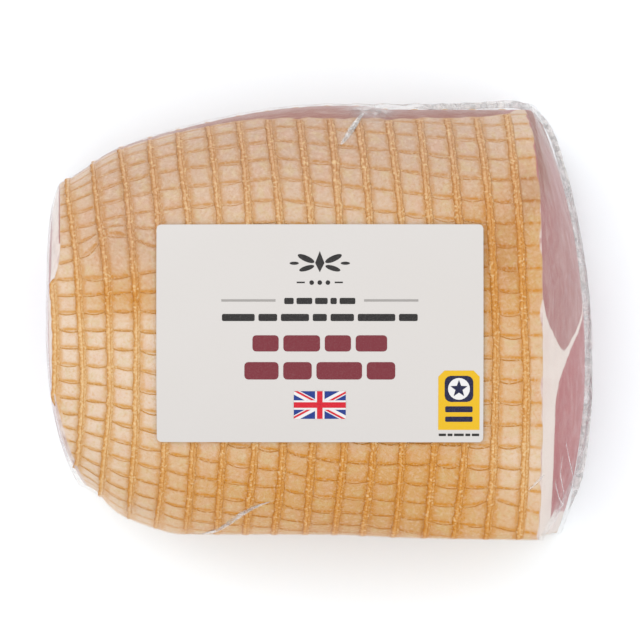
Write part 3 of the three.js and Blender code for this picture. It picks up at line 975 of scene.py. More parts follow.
# Tones of the cords' edges: smoke-stained, darkened further as painted shade.
CORD_EDGE_PALE, CORD_EDGE_AMBER = srgb(210, 148, 72), srgb(200, 124, 14)
CORD_EDGE_DUSKY, CORD_GLINT = srgb(182, 128, 80), srgb(250, 220, 170)
THREAD_PALE, THREAD_AMBER = srgb(212, 156, 84), srgb(202, 132, 40)
LAY_LENGTH = 0.0013


def cord_material(name, pale, amber, edge_stain_and_shade):
    """Stained cord with painted shade: darker at its edges, most on one side, and between the turns of its
    lay, with a few painted glints.
    """
    s = Shader(name)
    smoked = s.ramp(s.math("ADD", s.attr("smoke"), s.waver(0.4, 120, 2, 0.5)), 0.0, 1.0, soft=False)
    tone = s.mix(smoked, pale, amber)
    dusky = s.math("MULTIPLY", s.attr("dusk"), 0.85, clamp=True)
    tone = s.mix(dusky, tone, CORD_DUSKY)
    around = s.math("MULTIPLY", s.attr("around"), 2 * math.pi)
    side = s.math("ADD", s.math("SINE", around), s.waver(1.2, 700, 3, 0.65))
    # One edge gets the full painted shade over the smoke-stained tone, the other a weaker one.
    shaded_side_edge = s.ramp(side, 0.3, 0.8, 0.0, edge_stain_and_shade)
    edges = s.math("ADD", shaded_side_edge, s.ramp(side, -0.55, -1.0, 0.0, edge_stain_and_shade * 0.55))
    stain_and_shade_tone = s.mix(dusky, s.mix(smoked, CORD_EDGE_PALE, CORD_EDGE_AMBER), CORD_EDGE_DUSKY)
    tone = s.mix(edges, tone, stain_and_shade_tone)
    turns = s.math("MULTIPLY", s.attr("along"), 2 * math.pi / LAY_LENGTH)
    lay = s.math("SINE", s.math("ADD", turns, around))
    # Painted shade between the turns of the lay.
    tone = s.mix(s.ramp(lay, -1.0, 1.0, 0.16, 0.0), tone, stain_and_shade_tone)
    tone = s.flecked(tone, stain_and_shade_tone, 0.6, 900, 0.47, 0.6, 4, 0.7)
    # Pale flecks of painted glints.
    tone = s.flecked(tone, CORD_GLINT, 0.6, 1150, 0.54, 0.64, 3, 0.65, distortion=0.4)
    normal = s.bump(lay, 0.35, 0.00012)
    normal = s.bump(s.noise(1900, 3, 0.6), 0.4, 0.0002, normal)
    return s.finish(s.principled(tone, 0.65, normal, Specular_IOR_Level=0.12))


hoop_cord = cord_material("net_cord", CORD_PALE, CORD_AMBER, 0.9)
net_hoops = swept("net_hoops", hoop_object, hoop_cord, CORD_WIDTH, CORD_THICKNESS, 10)
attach(net_hoops, "root")
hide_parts("gammon_pack")

# %% [markdown]
# ## The net's threads
# Thin threads run along the joint from hoop to hoop. Between two hoops a thread sags a little
# towards the straight side, and it dips under each cord. They end at the rind's rim at both ends.
# They are thin cords, so the same sweep and the same finish make them, with other numbers.

# %% Paths of the threads
SAG = 0.12
THREAD_WIDTH, THREAD_DEPTH, THREAD_DIP, THREAD_INSIDE = 0.5, 0.62, 0.2, 0.75
FIRST_THREAD = -STRANDS // 2
thread_rows = np.arange(1, len(grid.stations) - 1, 2)


def thread_path(number):
    """A thread from end to end, by its number from the middle of the front."""
    station = grid.stations[thread_rows]
    column = int((number + STRANDS / 2) * COLUMNS_PER_STRAND)
    turns = hoop_number(grid.hoop_x[thread_rows, column])
    between = np.sin(np.pi * (turns - np.floor(turns))) * (turns < HOOPS - 1)
    wobble = 0.05 * np.sin(number * 12.9898 + turns * 1.7) + 0.03 * np.sin(number * 4.1 + turns * 5.3)
    angle = joint_angle(station, number + SAG * between + wobble)
    across = section(station, angle)[2]
    hidden = BURIED * meat_over_net(station, angle) + stretched_over(station, angle)
    deep = -THREAD_DEPTH - THREAD_DIP * (1 - between) - shoulder_gap(station, angle) - hidden
    points = ring(station, angle, deep, THREAD_INSIDE, nip(station, across))
    return points, outward(station, angle), np.full(len(points), 1 + 0.15 * math.sin(number * 7.7))


thread_paths = [thread_path(FIRST_THREAD + k) for k in range(STRANDS)]
thread_object = path_object("thread_paths", thread_paths, closed=False)
thread_cord = cord_material("net_thread", THREAD_PALE, THREAD_AMBER, 0.3)
net_threads = swept("net_threads", thread_object, thread_cord, THREAD_WIDTH, THREAD_WIDTH, 6)
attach(net_threads, "root")
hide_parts("gammon_pack")

# %% [markdown]
# ## The film
# One closed skin round everything, at the source's own outline. It stands on the cords, follows the
# rind between them, and crumples where it stands free of the meat: round the rim of the cut face
# and along the shoulder. A cloth simulation could shrink a bag on to the joint, but the laws are
# there already, give the same skin each time and stay inside the pack's box.

# %% The film's skin
FILM_COLUMNS = STRANDS * 4
FILM_ROWS_PER_HOOP = 8
FILM_CUT_RINGS, FILM_SMALL_RINGS = 30, 10
FILM_SAG, THREAD_LIFT = 0.42, 0.1
film_grid = Layout(CUT_RIM, FILM_ROWS_PER_HOOP, FILM_COLUMNS // STRANDS, nipped=False)
ridge = np.clip(1 - film_grid.off_hoop * 1.6, 0, 1)
on_thread = np.clip(1 - film_grid.off_strand * 2, 0, 1)[None, :]
film_depth = film_grid.netted * (-FILM_SAG + FILM_SAG * ridge + THREAD_LIFT * on_thread * (1 - ridge))
film_body = film_grid.rings(film_depth, 0.0)
film_cut, film_cut_shares = end_face(film_body[-1], CUT_BELLY_AT, RIGHT, no_fall,
                                     belly_roundness(film_grid.angles[-1]), FILM_CUT_RINGS)
film_small, _ = end_face(film_body[0], SMALL_FACE_AT, LEFT, small_fall,
                         SMALL_FACE_ROUNDNESS, FILM_SMALL_RINGS)
film_rings = film_small[::-1] + film_body + [press_flat(p, 0.0) for p in film_cut]
film_points = np.vstack([[(LEFT, *SMALL_FACE_AT)], *film_rings, [(RIGHT, *CUT_BELLY_AT)]])
print("film rings", len(film_rings), "points", len(film_points))

# %% Where the film is hazy, loose, milky and free
# Haze and looseness of the small end, of the cut face's rim, and at most along the shoulder.
SMALL_END_HAZE, CUT_HAZE, SHOULDER_HAZE = 0.1, 0.04, 0.12
SMALL_END_LOOSE, CUT_LOOSE, SHOULDER_LOOSE = 0.25, 0.2, 0.6
haze = [[SMALL_END_HAZE] * (1 + FILM_COLUMNS * len(film_small))]
loose = [[0.2], [SMALL_END_LOOSE] * FILM_COLUMNS * len(film_small)]
for station, angles in zip(film_grid.stations, film_grid.angles):
    shoulder = np.exp(-(((wrapped(angles) - 0.15) / 0.4) ** 2)) * smooth((station + 10) / 50)
    cut = smooth((station - JOINT_CUT_RIM + 3) / 4)
    haze.append(np.maximum(SHOULDER_HAZE * shoulder, CUT_HAZE * cut))
    loose.append(np.maximum(SHOULDER_LOOSE * shoulder, CUT_LOOSE * cut))
haze.append([CUT_HAZE] * (FILM_COLUMNS * len(film_cut) + 1))
loose += [np.full(FILM_COLUMNS, 0.25 + 0.75 * (1 - share)) for share in film_cut_shares]
haze, loose = np.concatenate(haze), np.concatenate([*loose, [1.0]])
# Milky patches: x, y, reach along, reach across, strength. They show where folded film lies double.
MILKY_SPOTS = [
    (-46, -71.5, 14, 2.6, 0.75), (16, 69.0, 6.5, 4.0, 0.55), (50, 71.5, 28, 3.4, 0.25),
    (78, -64, 4, 6, 0.2), (-89, 34, 3.5, 22, 0.3), (-84, -54, 7, 5, 0.4), (-68, -64, 9, 3.5, 0.55),
]
MILKY_FROM, MILKY_OVER = 47.0, 12.0
milk = soft_spots(film_points, MILKY_SPOTS) * smooth((film_points[:, 2] - MILKY_FROM) / MILKY_OVER)
# Past the meat's outline, as seen from the front, the film is on its own and creased all over.
across_y = np.linspace(-HALF_WIDTH, HALF_WIDTH, 73)
meat_x = np.array([joint_points[np.abs(joint_points[:, 1] - y) < 3.5, 0].max() for y in across_y])
past_meat = film_points[:, 0] - np.interp(film_points[:, 1], across_y, meat_x)
free_film = smooth((past_meat + 1.6) / 2.6) * smooth((film_points[:, 0] - 68) / 3)
film = new_mesh("film", film_points, skin_faces(len(film_rings), FILM_COLUMNS),
                {"haze": haze, "loose": loose, "milk": milk})
print("film faces", len(film.data.polygons))

# %% Crumple the loose film inwards
CRUMPLED_UNDER, CREASE_SHARPNESS = 1.3, 2.4


def crease_height(at):
    """Noise with sharp crests, as crumpled film has them."""
    height = 1 - abs(noise.noise(at)) * CREASE_SHARPNESS
    return height + 0.5 * (1 - abs(noise.noise(at * 2.7)) * CREASE_SHARPNESS)


film_normals = np.zeros(len(film_points) * 3, np.float32)
film.data.vertex_normals.foreach_get("vector", film_normals)
film_normals = film_normals.reshape(-1, 3)
crumpled = film_points.copy()
for i, (p, n, slack) in enumerate(zip(film_points, film_normals, loose)):
    if slack > 0.05:
        height = crease_height(Vector((p[0] * 0.35, p[1] * 0.16, p[2] * 0.35)))
        reach = 0.45 + 0.5 * free_film[i]
        crumpled[i] = p - n * slack * reach * max(0.0, CRUMPLED_UNDER - height)
crumpled = np.clip(crumpled, [LEFT, -HALF_WIDTH, 0], [RIGHT, HALF_WIDTH, HEIGHT])
film.data.vertices.foreach_set("co", (crumpled * MM).ravel())
film.data.update()
print("crumpled by up to", round(float(np.abs(crumpled - film_points).max()), 2), "mm")

# %% [markdown]
# Clear film shows by its gloss and by whitish creases. Glass would bend the light and cost time, and
# a thin sheet hardly bends it. So the sheet is a plain see-through surface with a mirror mixed in by
# the viewing angle, and a white one where it lies double.


# %% The film's material
def film_material():
    s = Shader("clear_film")
    creases = s.noise(300, 4, 0.65, stretch=(1.0, 0.4, 1.0), distortion=1.2)
    hazy = s.math("MULTIPLY", s.attr("haze"), s.ramp(creases, 0.42, 0.72, 0.15, 2.2))
    milky = s.math("MULTIPLY", s.attr("milk"), s.ramp(creases, 0.35, 0.65, 0.45, 1.15))
    milky = s.math("MAXIMUM", hazy, milky)
    normal = s.bump(s.noise(260, 4, 0.6, distortion=0.8), 0.25, 0.0006)
    clear = s.node("ShaderNodeBsdfTransparent", Color=(1, 1, 1))
    gloss = s.node("ShaderNodeBsdfGlossy", Color=(1, 1, 1), Roughness=0.12, Normal=normal)
    facing = s.node("ShaderNodeLayerWeight", "Facing", Blend=0.5, Normal=normal)
    mirror = s.math("MULTIPLY_ADD", s.math("POWER", facing, 5.0), 0.4, 0.01)
    sheet = s.node("ShaderNodeMixShader", i0=mirror, i1=clear, i2=gloss)
    shade = s.ramp(s.noise(240, 3, 0.6, stretch=(1.0, 0.5, 1.0), distortion=1.0), 0.4, 0.6)
    white = s.principled(s.mix(shade, srgb(214, 213, 212), (0.68, 0.68, 0.68)), 0.35, normal)
    cover = s.math("MINIMUM", milky, 0.85)
    return s.finish(s.node("ShaderNodeMixShader", i0=cover, i1=sheet, i2=white))


film.data.materials.append(film_material())
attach(film, "root")
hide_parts("gammon_pack")

# %% [markdown]
# ## Folds in the film
# Where spare film was drawn together it lies in folds, which show as thin milky lines: a crease over
# the shoulder, one along the slanting side, and a fan of them at the lower corner of the cut face.
# Carved into the film they would need a far finer mesh. So each fold is drawn by a few places seen
# from the front and laid down on the film, and the same sweep makes it a flat strip with points.

# %% Paths of the folds
FOLD_WIDTH, FOLD_THICKNESS, FOLD_STEP, FOLD_LIFT = 1.3, 0.16, 0.8, 0.03
# Places, x and y, and the width in the middle as a share of the fold width.
FOLDS = [
    ([(14, 67.4), (11.5, 64.4), (8.4, 59.2), (6.4, 56.6)], 1.9),
    ([(-46, -70.0), (-40, -70.2), (-34.7, -69.0), (-31.4, -67.2),
      (-28.1, -64.6), (-24.9, -62.3), (-20, -59.8), (-16.5, -58.8)], 1.7),
    ([(79.1, -39.1), (80.6, -46), (82.4, -52), (84.2, -58.4)], 0.6),
    ([(78.0, -44), (77.2, -50), (79.0, -57), (77.6, -62)], 0.45),
    ([(75.5, -52), (77.0, -58), (80.5, -62)], 0.5),
    ([(81.0, -55), (79.0, -62), (77.0, -68)], 0.6),
    ([(66.9, -54.7), (69.6, -52.0), (71.8, -49.7)], 0.6),
]
film_tree = BVHTree.FromPolygons([tuple(v.co / MM) for v in film.data.vertices],
                                 [tuple(f.vertices) for f in film.data.polygons])


def evened_out(row):
    """Every value but the first and the last becomes the mean of itself and its neighbours."""
    row[1:-1] = (row[:-2] + row[1:-1] + row[2:]) / 3


def fold_path(corners, width):
    """A pointed path on the film's front through places seen from above."""
    corners = np.array(corners, float)
    run = run_along(corners)
    steps = max(6, int(run[-1] / FOLD_STEP))
    t = np.linspace(0, run[-1], steps + 1)
    places = np.stack([np.interp(t, run, corners[:, 0]), np.interp(t, run, corners[:, 1])], -1)
    evened_out(places)
    points, normals, scales = [], [], []
    for i, (x, y) in enumerate(places):
        hit, normal, _, _ = film_tree.ray_cast(Vector((x, y, 2 * HEIGHT)), Vector((0, 0, -1)))
        if hit is not None:
            points.append(hit + normal * FOLD_LIFT)
            normals.append(normal)
            scales.append(0.08 + width * math.sin(math.pi * (i + 0.3) / (steps + 0.6)) ** 0.7)
    points, normals = np.array(points), np.array(normals)
    for row in (points, normals):
        for _ in range(4):
            evened_out(row)
    return points, normals, np.array(scales)


# %% The folds' material
# The grey is painted shade of the crumpled film, flecked into its milky white.
MILKY_SHADE_GREY, MILKY_WHITE = srgb(222, 223, 223), (0.76, 0.755, 0.75)


def creased_film(name, fleck, low, high, soft_sides):
    """Milky film between two strengths of white, flecked with painted grey shade; with soft sides it fades
    across its width.
    """
    s = Shader(name)
    uneven = s.noise(fleck, 4, 0.7, distortion=0.8)
    cover = s.ramp(uneven, 0.42, 0.6, low, high)
    if soft_sides:
        side = s.math("SINE", s.math("MULTIPLY", s.attr("around"), 2 * math.pi))
        cover = s.math("MULTIPLY", cover, s.math("SUBTRACT", 1.0, s.math("MULTIPLY", side, side)))
    clear = s.node("ShaderNodeBsdfTransparent", Color=(1, 1, 1))
    normal = s.bump(s.noise(1500, 2, 0.6), 0.3, 0.0002)
    # Grey flecks of painted shade in the milky white.
    tone = s.flecked(MILKY_SHADE_GREY, MILKY_WHITE, 1.0, fleck * 2.0, 0.4, 0.58, 3, 0.7)
    white = s.principled(tone, 0.4, normal)
    return s.finish(s.node("ShaderNodeMixShader", i0=cover, i1=clear, i2=white))


fold_object = path_object("fold_paths", [fold_path(*fold) for fold in FOLDS], closed=False)
milky_fold = creased_film("film_fold", 150, 0.3, 0.65, soft_sides=True)
film_folds = swept("film_folds", fold_object, milky_fold, FOLD_WIDTH, FOLD_THICKNESS, 12)
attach(film_folds, "root")
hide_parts("gammon_pack")

# %% [markdown]
# Where the bag is wider than the meat, its spare film is gathered into a thin fin inside the outer
# skin, along the widest line round the cut face and the shoulder. Seen from the front it is the
# whitish margin, flecked with painted grey shade; from the end it is no more than a wavy line. It
# is one more sweep, of a section so wide that it reaches from the meat to the skin, with the flecks
# in its material.

# %% The gathered fin
FIN_CENTRE = (20.0, 0.0)
FIN_FROM, FIN_TO, FIN_STEP = 82.0, -46.0, 0.75
FIN_THICKNESS, FIN_REACH_IN, FIN_INSIDE, FIN_LEAST = 0.1225, 0.9, 0.6, 1.2
FIN_RUFFLE, FIN_TILT = 0.1, 0.05
LOOKED_ROUND = 2.2


def outline(points, degrees):
    """The furthest of the points from the fin's centre, as seen from the front, in one direction."""
    offset = points[:, :2] - np.array(FIN_CENTRE)
    turn = (np.degrees(np.arctan2(offset[:, 1], offset[:, 0])) - degrees + 180) % 360 - 180
    near = np.where(np.abs(turn) < LOOKED_ROUND)[0]
    far = near[np.argmax(np.hypot(*offset[near].T))]
    return np.hypot(*offset[far]), points[far, 2]


def evened(values, reach):
    """The mean over that many neighbours on both sides."""
    window = np.ones(2 * reach + 1) / (2 * reach + 1)
    return np.convolve(np.pad(values, reach, "edge"), window, "valid")


def fin_path():
    """The fin's middle line between the meat's outline and the skin's, and its width there."""
    turns = np.arange(FIN_FROM, FIN_TO, -FIN_STEP)
    skin = np.array([outline(film_points, t) for t in turns])
    meat = np.array([outline(joint_points, t) for t in turns])
    skin[:, 0] = np.minimum(skin[:, 0], evened(skin[:, 0], 4))
    meat[:, 0] = evened(meat[:, 0], 4)
    skin[:, 1] = evened(evened(skin[:, 1], 12), 8)
    outer = skin[:, 0] - FIN_INSIDE
    inner = np.minimum(meat[:, 0], skin[:, 0] - FIN_LEAST) - FIN_REACH_IN
    middle, width = (outer + inner) / 2, outer - inner
    ruffle = np.sin(turns * 0.61) + 0.7 * np.sin(turns * 1.37 + 1) + 0.5 * np.sin(turns * 2.3 + 2)
    c, s = np.cos(np.radians(turns)), np.sin(np.radians(turns))
    height = skin[:, 1] + FIN_RUFFLE * ruffle
    points = np.stack([FIN_CENTRE[0] + middle * c, FIN_CENTRE[1] + middle * s, height], -1)
    tilt = FIN_TILT * np.sin(turns * 0.83 + 0.5)
    normals = np.stack([np.sin(tilt) * c, np.sin(tilt) * s, np.cos(tilt)], -1)
    steps = np.arange(len(turns))
    ends = np.clip(np.minimum(steps, steps[::-1]) / 8, 0.05, 1)
    return points, normals, width * ends


fin_object = path_object("fin_path", [fin_path()], closed=False)
gathered_film = creased_film("film_gathered", 210, 0.35, 0.85, soft_sides=False)
film_fin = swept("film_fin", fin_object, gathered_film, 1.0, FIN_THICKNESS, 12)
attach(film_fin, "root")
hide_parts("gammon_pack")

# %% [markdown]
# ## The label
# A stiff paper sticker, 105 by 70 millimetres with small rounded corners. It lies over the film on
# top of the hoops, and follows the crown's curve. A flat card bent by a modifier would miss the
# crown, so the sheet's points take their height from the law of the pack's front.

# %% Label
LABEL_LENGTH, LABEL_WIDTH, LABEL_CORNER = 105.0, 70.0, 1.5
LABEL_AT = (-0.4, -4.2)
LABEL_THICKNESS, LABEL_GAP = 0.4, 0.35
LABEL_CELL = 1.75


def front_height(x, y):
    """Height of the pack's front over a place, on top of the hoops."""
    middle = (shoulder_edge(x) + side_edge(x)) / 2
    half = (shoulder_edge(x) - side_edge(x)) / 2
    across = (y - middle) / half
    crown = crown_height(x + bow(across, HOOP_BOW_SHOULDER, HOOP_BOW_SIDE))
    power = np.where(across < 0, SIDE_SQUARENESS, SHOULDER_SQUARENESS)
    return WAIST * crown + (1 - WAIST) * crown * (1 - np.abs(across) ** power) ** (1 / power)


def label_sheet():
    """Points and faces of the sheet: a lower and an upper layer, and the cut edge between them."""
    straight = LABEL_WIDTH / 2 - LABEL_CORNER
    corner = straight + LABEL_CORNER * np.sin(np.radians([15, 30, 45, 60, 75, 90]))
    between = np.linspace(-straight, straight, int(2 * straight / LABEL_CELL) + 1)
    rows = np.concatenate([-corner[::-1], between, corner])
    steps = np.linspace(-1, 1, int(LABEL_LENGTH / LABEL_CELL) + 1)
    past = np.maximum(0, np.abs(rows) - straight)
    half = LABEL_LENGTH / 2 - LABEL_CORNER + np.sqrt(np.maximum(0, LABEL_CORNER**2 - past**2))
    x = LABEL_AT[0] + half[:, None] * steps[None, :]
    y = LABEL_AT[1] + rows[:, None] + 0 * x
    z = front_height(x, y)
    count, wide = len(rows), len(steps)
    lifts = (LABEL_GAP, LABEL_GAP + LABEL_THICKNESS)
    points = np.concatenate([np.stack([x, y, z + lift], -1).reshape(-1, 3) for lift in lifts])
    layer = count * wide
    faces = []
    for r in range(count - 1):
        for c in range(wide - 1):
            a = r * wide + c
            faces.append((a, a + wide, a + wide + 1, a + 1))
            faces.append((layer + a, layer + a + 1, layer + a + wide + 1, layer + a + wide))
    low_edge, high_edge = range(wide - 1), range(layer - 1, layer - wide, -1)
    right_edge, left_edge = range(wide - 1, layer - 1, wide), range(layer - wide, 0, -wide)
    loop = [*low_edge, *right_edge, *high_edge, *left_edge]
    for a, b in zip(loop, loop[1:] + loop[:1]):
        faces.append((a, b, b + layer, a + layer))
    return points, faces


label = new_mesh("label_paper", *label_sheet(), smooth_shading=False)


def label_material():
    s = Shader("label_paper")
    tone = s.mix(s.ramp(s.noise(30, 2, 0.5), 0.3, 0.7, 0.0, 0.3), srgb(226, 222, 219), srgb(224, 219, 215))
    normal = s.bump(s.noise(1800, 2, 0.5), 0.05, 0.0001)
    return s.finish(s.principled(tone, 0.55, normal, Specular_IOR_Level=0.3))


label.data.materials.append(label_material())
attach(label, "root")
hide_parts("label")
print("label faces", len(label.data.polygons))

# %% [markdown]
# ## The print on the label
# Plain printed fields in place of any words: an ornament, rules, rows of blocks in charcoal and
# maroon, a plain Union flag and a yellow badge with a star. An image would need a file and would blur
# close up. Here every field is a flat outline that is cut into small cells and draped over the
# label, a hair's breadth higher for each ink on top.

# %% Outlines of the print
INK_CELL, INK_LIFT = 1.75, 0.03
BLOCK_CORNER = 0.22
CHARCOAL, GREY, MAROON = (38, 36, 36), (172, 168, 165), (128, 44, 56)
FLAG_BLUE, FLAG_RED, FLAG_WHITE = (16, 54, 142), (222, 12, 42), (246, 244, 244)
BADGE_YELLOW, BADGE_NAVY = (243, 194, 14), (14, 20, 66)
inks = []


def ink(outline, colour, layer=1):
    """Adds a field: its outline in millimetres from the label's middle, its screen colour, its layer."""
    area = sum(a[0] * b[1] - b[0] * a[1] for a, b in zip(outline, outline[1:] + outline[:1]))
    inks.append((outline if area > 0 else outline[::-1], colour, layer))


def block(x0, y0, x1, y1, colour, layer=1, corner=0.0):
    """A field between two opposite corners, rounded if a corner size is given."""
    if corner == 0:
        ink([(x0, y0), (x1, y0), (x1, y1), (x0, y1)], colour, layer)
        return
    outline = []
    for cx, cy, start in ((x1, y0, -90), (x1, y1, 0), (x0, y1, 90), (x0, y0, 180)):
        cx += corner if cx == x0 else -corner
        cy += corner if cy == y0 else -corner
        turns = np.radians([0, 30, 60, 90]) + math.radians(start)
        outline += [(cx + corner * math.cos(t), cy + corner * math.sin(t)) for t in turns]
    ink(outline, colour, layer)


def oval(x, y, rx, ry, colour, layer=1, turn=0.0, count=24):
    c, s = math.cos(turn), math.sin(turn)
    turns = [2 * math.pi * i / count for i in range(count)]
    points = [(rx * math.cos(t), ry * math.sin(t)) for t in turns]
    ink([(x + u * c - v * s, y + u * s + v * c) for u, v in points], colour, layer)


def block_row(x0, x1, y, height, shares, gap, colour):
    """A row of plain blocks whose widths follow the shares."""
    unit = (x1 - x0 - gap * (len(shares) - 1)) / sum(shares)
    for share in shares:
        corner = min(height, share * unit) * BLOCK_CORNER
        block(x0, y - height / 2, x0 + share * unit, y + height / 2, colour, corner=corner)
        x0 += share * unit + gap


# %% Ornament, rules and blocks
# A sprig: a lozenge between two pairs of leaves.
ink([(0, 19.6), (1.5, 22.6), (0, 26.4), (-1.5, 22.6)], CHARCOAL)
for side in (-1, 1):
    oval(side * 4.4, 24.0, 2.9, 0.95, CHARCOAL, turn=side * 0.42)
    oval(side * 4.2, 20.9, 2.5, 0.8, CHARCOAL, turn=-side * 0.3)
    oval(side * 8.2, 22.5, 1.5, 0.5, CHARCOAL)
    block(side * 6.1 - 1.3, 16.1, side * 6.1 + 1.3, 16.6, CHARCOAL)
    block(side * 22.9 - 8.7, 10.2, side * 22.9 + 8.7, 10.95, GREY)
for i in (-1, 0, 1):
    oval(i * 2.6, 16.3, 0.75, 0.75, CHARCOAL, count=14)
block_row(-11.4, 11.4, 10.4, 2.0, (3, 5, 4, 2, 5), 0.9, CHARCOAL)
block_row(-31.4, 31.4, 5.1, 2.3, (7, 4, 6, 3, 5, 8, 4), 1.2, CHARCOAL)
block_row(-21.6, 21.6, -3.2, 5.2, (5, 7, 5, 6), 1.5, MAROON)
block_row(-24.2, 24.2, -12.0, 5.6, (6, 5, 8, 5), 1.5, MAROON)
block_row(38.2, 51.2, -32.6, 0.8, (3, 2, 4, 2, 3), 0.5, CHARCOAL)

print("fields of ornament and blocks", len(inks))

# %% A plain Union flag
FLAG_AT, FLAG_HALF = (0.0, -23.0), (8.35, 4.45)
WHITE_CROSS, RED_CROSS = 1.5, 0.9
WHITE_DIAGONAL, RED_DIAGONAL, RED_ASIDE = 1.9, 0.62, -0.33
PAST_CORNER = 9


def flag_band(start, end, offset, width, colour, layer):
    """A diagonal band of the flag, clipped to the flag's edge."""
    (ax, ay), (bx, by) = start, end
    length = math.hypot(bx - ax, by - ay)
    ux, uy = (bx - ax) / length, (by - ay) / length
    low_side, high_side = offset - width / 2, offset + width / 2
    first, last = -PAST_CORNER, length + PAST_CORNER
    corners = [(first, low_side), (last, low_side), (last, high_side), (first, high_side)]
    outline = [(ax + ux * u - uy * v, ay + uy * u + ux * v) for u, v in corners]
    low, high = (min(ax, bx), min(ay, by)), (max(ax, bx), max(ay, by))
    for axis in (0, 1):
        for limit, sign in ((low[axis], 1), (high[axis], -1)):
            clipped = []
            for p, q in zip(outline, outline[1:] + outline[:1]):
                inside_p = sign * (p[axis] - limit) >= 0
                inside_q = sign * (q[axis] - limit) >= 0
                if inside_p:
                    clipped.append(p)
                if inside_p != inside_q:
                    t = (limit - p[axis]) / (q[axis] - p[axis])
                    clipped.append((p[0] + t * (q[0] - p[0]), p[1] + t * (q[1] - p[1])))
            outline = clipped
    if len(outline) > 2:
        ink(outline, colour, layer)


flag_x, flag_y = FLAG_AT
half_long, half_high = FLAG_HALF
block(flag_x - half_long, flag_y - half_high, flag_x + half_long, flag_y + half_high, FLAG_BLUE, 1)
for to_x, to_y in ((-1, 1), (1, 1), (-1, -1), (1, -1)):
    outer = (flag_x + to_x * half_long, flag_y + to_y * half_high)
    flag_band(FLAG_AT, outer, 0.0, WHITE_DIAGONAL, FLAG_WHITE, 2)
    flag_band(FLAG_AT, outer, RED_ASIDE, RED_DIAGONAL, FLAG_RED, 3)
for arm, tone, ink_layer in ((WHITE_CROSS, FLAG_WHITE, 4), (RED_CROSS, FLAG_RED, 5)):
    block(flag_x - arm, flag_y - half_high, flag_x + arm, flag_y + half_high, tone, ink_layer)
    block(flag_x - half_long, flag_y - arm, flag_x + half_long, flag_y + arm, tone, ink_layer)
print("with the flag", len(inks))

# %% A yellow badge with a star
BADGE_LEFT, BADGE_RIGHT, BADGE_LOW, BADGE_HIGH, BADGE_CUT = 38.0, 51.3, -31.0, -11.9, 2.0
STAR_AT_Y, STAR_POINTS, STAR_OUTER, STAR_INNER = -17.8, 5, 2.9, 1.2


def badge():
    """A field with two cut corners, a disc with a star on a dark plate, and two bars below it."""
    below_cut = BADGE_HIGH - BADGE_CUT
    ink([(BADGE_LEFT, BADGE_LOW), (BADGE_RIGHT, BADGE_LOW), (BADGE_RIGHT, below_cut),
         (BADGE_RIGHT - BADGE_CUT, BADGE_HIGH), (BADGE_LEFT + BADGE_CUT, BADGE_HIGH),
         (BADGE_LEFT, below_cut)], BADGE_YELLOW)
    middle = (BADGE_LEFT + BADGE_RIGHT) / 2
    block(middle - 4.6, -22.0, middle + 4.6, -13.6, BADGE_NAVY, 2, corner=2.0)
    oval(middle, STAR_AT_Y, 3.5, 3.5, FLAG_WHITE, 3)
    star = []
    for i in range(2 * STAR_POINTS):
        reach = STAR_INNER if i % 2 else STAR_OUTER
        turn = math.pi / 2 + i * math.pi / STAR_POINTS
        star.append((middle + reach * math.cos(turn), STAR_AT_Y + reach * math.sin(turn)))
    ink(star, BADGE_NAVY, 4)
    for bar_low, bar_high in ((-25.3, -23.4), (-28.4, -26.7)):
        block(middle - 4.4, bar_low, middle + 4.4, bar_high, BADGE_NAVY, 2, corner=0.4)


badge()
print("fields of ink", len(inks))


# %% Drape the print over the label
def drape_print():
    """All fields as one mesh, cut into cells and lifted on to the label, with the ink as a colour."""
    sheet = bmesh.new()
    tint = sheet.verts.layers.float_color.new("ink")
    for outline, colour, layer in inks:
        shade = (*srgb(*colour), 1.0)
        corners = []
        for x, y in outline:
            vert = sheet.verts.new((LABEL_AT[0] + x, LABEL_AT[1] + y, layer))
            vert[tint] = shade
            corners.append(vert)
        sheet.faces.new(corners)
    bmesh.ops.triangulate(sheet, faces=sheet.faces[:])
    for axis, half in ((0, LABEL_LENGTH / 2), (1, LABEL_WIDTH / 2)):
        for step in np.arange(LABEL_AT[axis] - half, LABEL_AT[axis] + half, INK_CELL):
            place, normal = Vector((0, 0, 0)), Vector((0, 0, 0))
            place[axis], normal[axis] = step, 1
            everything = sheet.verts[:] + sheet.edges[:] + sheet.faces[:]
            bmesh.ops.bisect_plane(sheet, geom=everything, plane_co=place, plane_no=normal)
    x = np.array([v.co.x for v in sheet.verts])
    y = np.array([v.co.y for v in sheet.verts])
    height = front_height(x, y) + LABEL_GAP + LABEL_THICKNESS
    for vert, z in zip(sheet.verts, height):
        vert.co.z = z + INK_LIFT * vert.co.z
        vert.co *= MM
    mesh = bpy.data.meshes.new("label_print")
    sheet.to_mesh(mesh)
    sheet.free()
    return link(bpy.data.objects.new("label_print", mesh))


label_print = drape_print()


def ink_material():
    s = Shader("label_ink")
    mottled = s.ramp(s.noise(2600, 2, 0.5), 0.4, 0.8, 0.0, 0.05)
    tone = s.mix(mottled, s.attr("ink", "Color"), srgb(228, 224, 220))
    normal = s.bump(s.noise(1800, 2, 0.5), 0.05, 0.0001)
    return s.finish(s.principled(tone, 0.5, normal, Specular_IOR_Level=0.25))


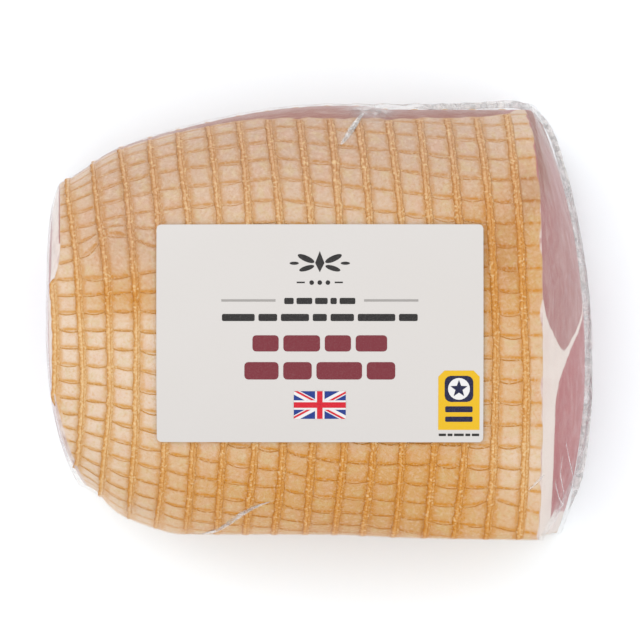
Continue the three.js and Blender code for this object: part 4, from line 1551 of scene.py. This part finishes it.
label_print.data.materials.append(ink_material())
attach(label_print, "root")
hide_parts("label")
print("print faces", len(label_print.data.polygons))

# %% [markdown]
# ## Floor, light and the end
# A plain pale floor, and soft studio light: an even white room, and one broad light from the upper
# left that models the joint and throws a faint shadow to the lower right. A lamp close by would be
# brighter on one end of the pack, so it is a sun with a wide angle, which is soft and even.

# %% Floor
FLOOR_HALF, FLOOR_Z = 3.0, -0.00005
FLOOR_TONE, FLOOR_TONE_LIGHT = (0.85, 0.89, 0.92), (0.86, 0.9, 0.93)
floor_corners = [(x * FLOOR_HALF, y * FLOOR_HALF, FLOOR_Z) for x, y in ((-1, -1), (1, -1), (1, 1), (-1, 1))]
floor_mesh = bpy.data.meshes.new("floor")
floor_mesh.from_pydata(floor_corners, [], [(0, 1, 2, 3)])
floor = link(bpy.data.objects.new("floor", floor_mesh))


def floor_material():
    s = Shader("floor")
    return s.finish(s.principled(s.flecked(FLOOR_TONE, FLOOR_TONE_LIGHT, 1.0, 3, 0.3, 0.7, 1, 0.5), 0.9))


floor_mesh.materials.append(floor_material())
print("floor", 2 * FLOOR_HALF, "m wide")

# %% Lights
ROOM_LIGHT = 1.36
LAMP_FROM, LAMP_TO = Vector((-0.8, 0.9, 1.3)), Vector((0, 0, 0.04))
LAMP_ANGLE, LAMP_STRENGTH = 40, 0.6
world = bpy.data.worlds.new("room")
world.use_nodes = True
world.node_tree.nodes["Background"].inputs[0].default_value = (1, 1, 1, 1)
world.node_tree.nodes["Background"].inputs[1].default_value = ROOM_LIGHT
bpy.context.scene.world = world

lamp_data = bpy.data.lights.new("key_lamp", "SUN")
lamp_data.angle, lamp_data.energy = math.radians(LAMP_ANGLE), LAMP_STRENGTH
lamp = link(bpy.data.objects.new("key_lamp", lamp_data))
lamp.location = LAMP_FROM
lamp.rotation_mode = "QUATERNION"
lamp.rotation_quaternion = (LAMP_TO - LAMP_FROM).to_track_quat("-Z", "Y")
bpy.context.scene.view_settings.view_transform = "Standard"
print("lamp strength", LAMP_STRENGTH, "room", ROOM_LIGHT)
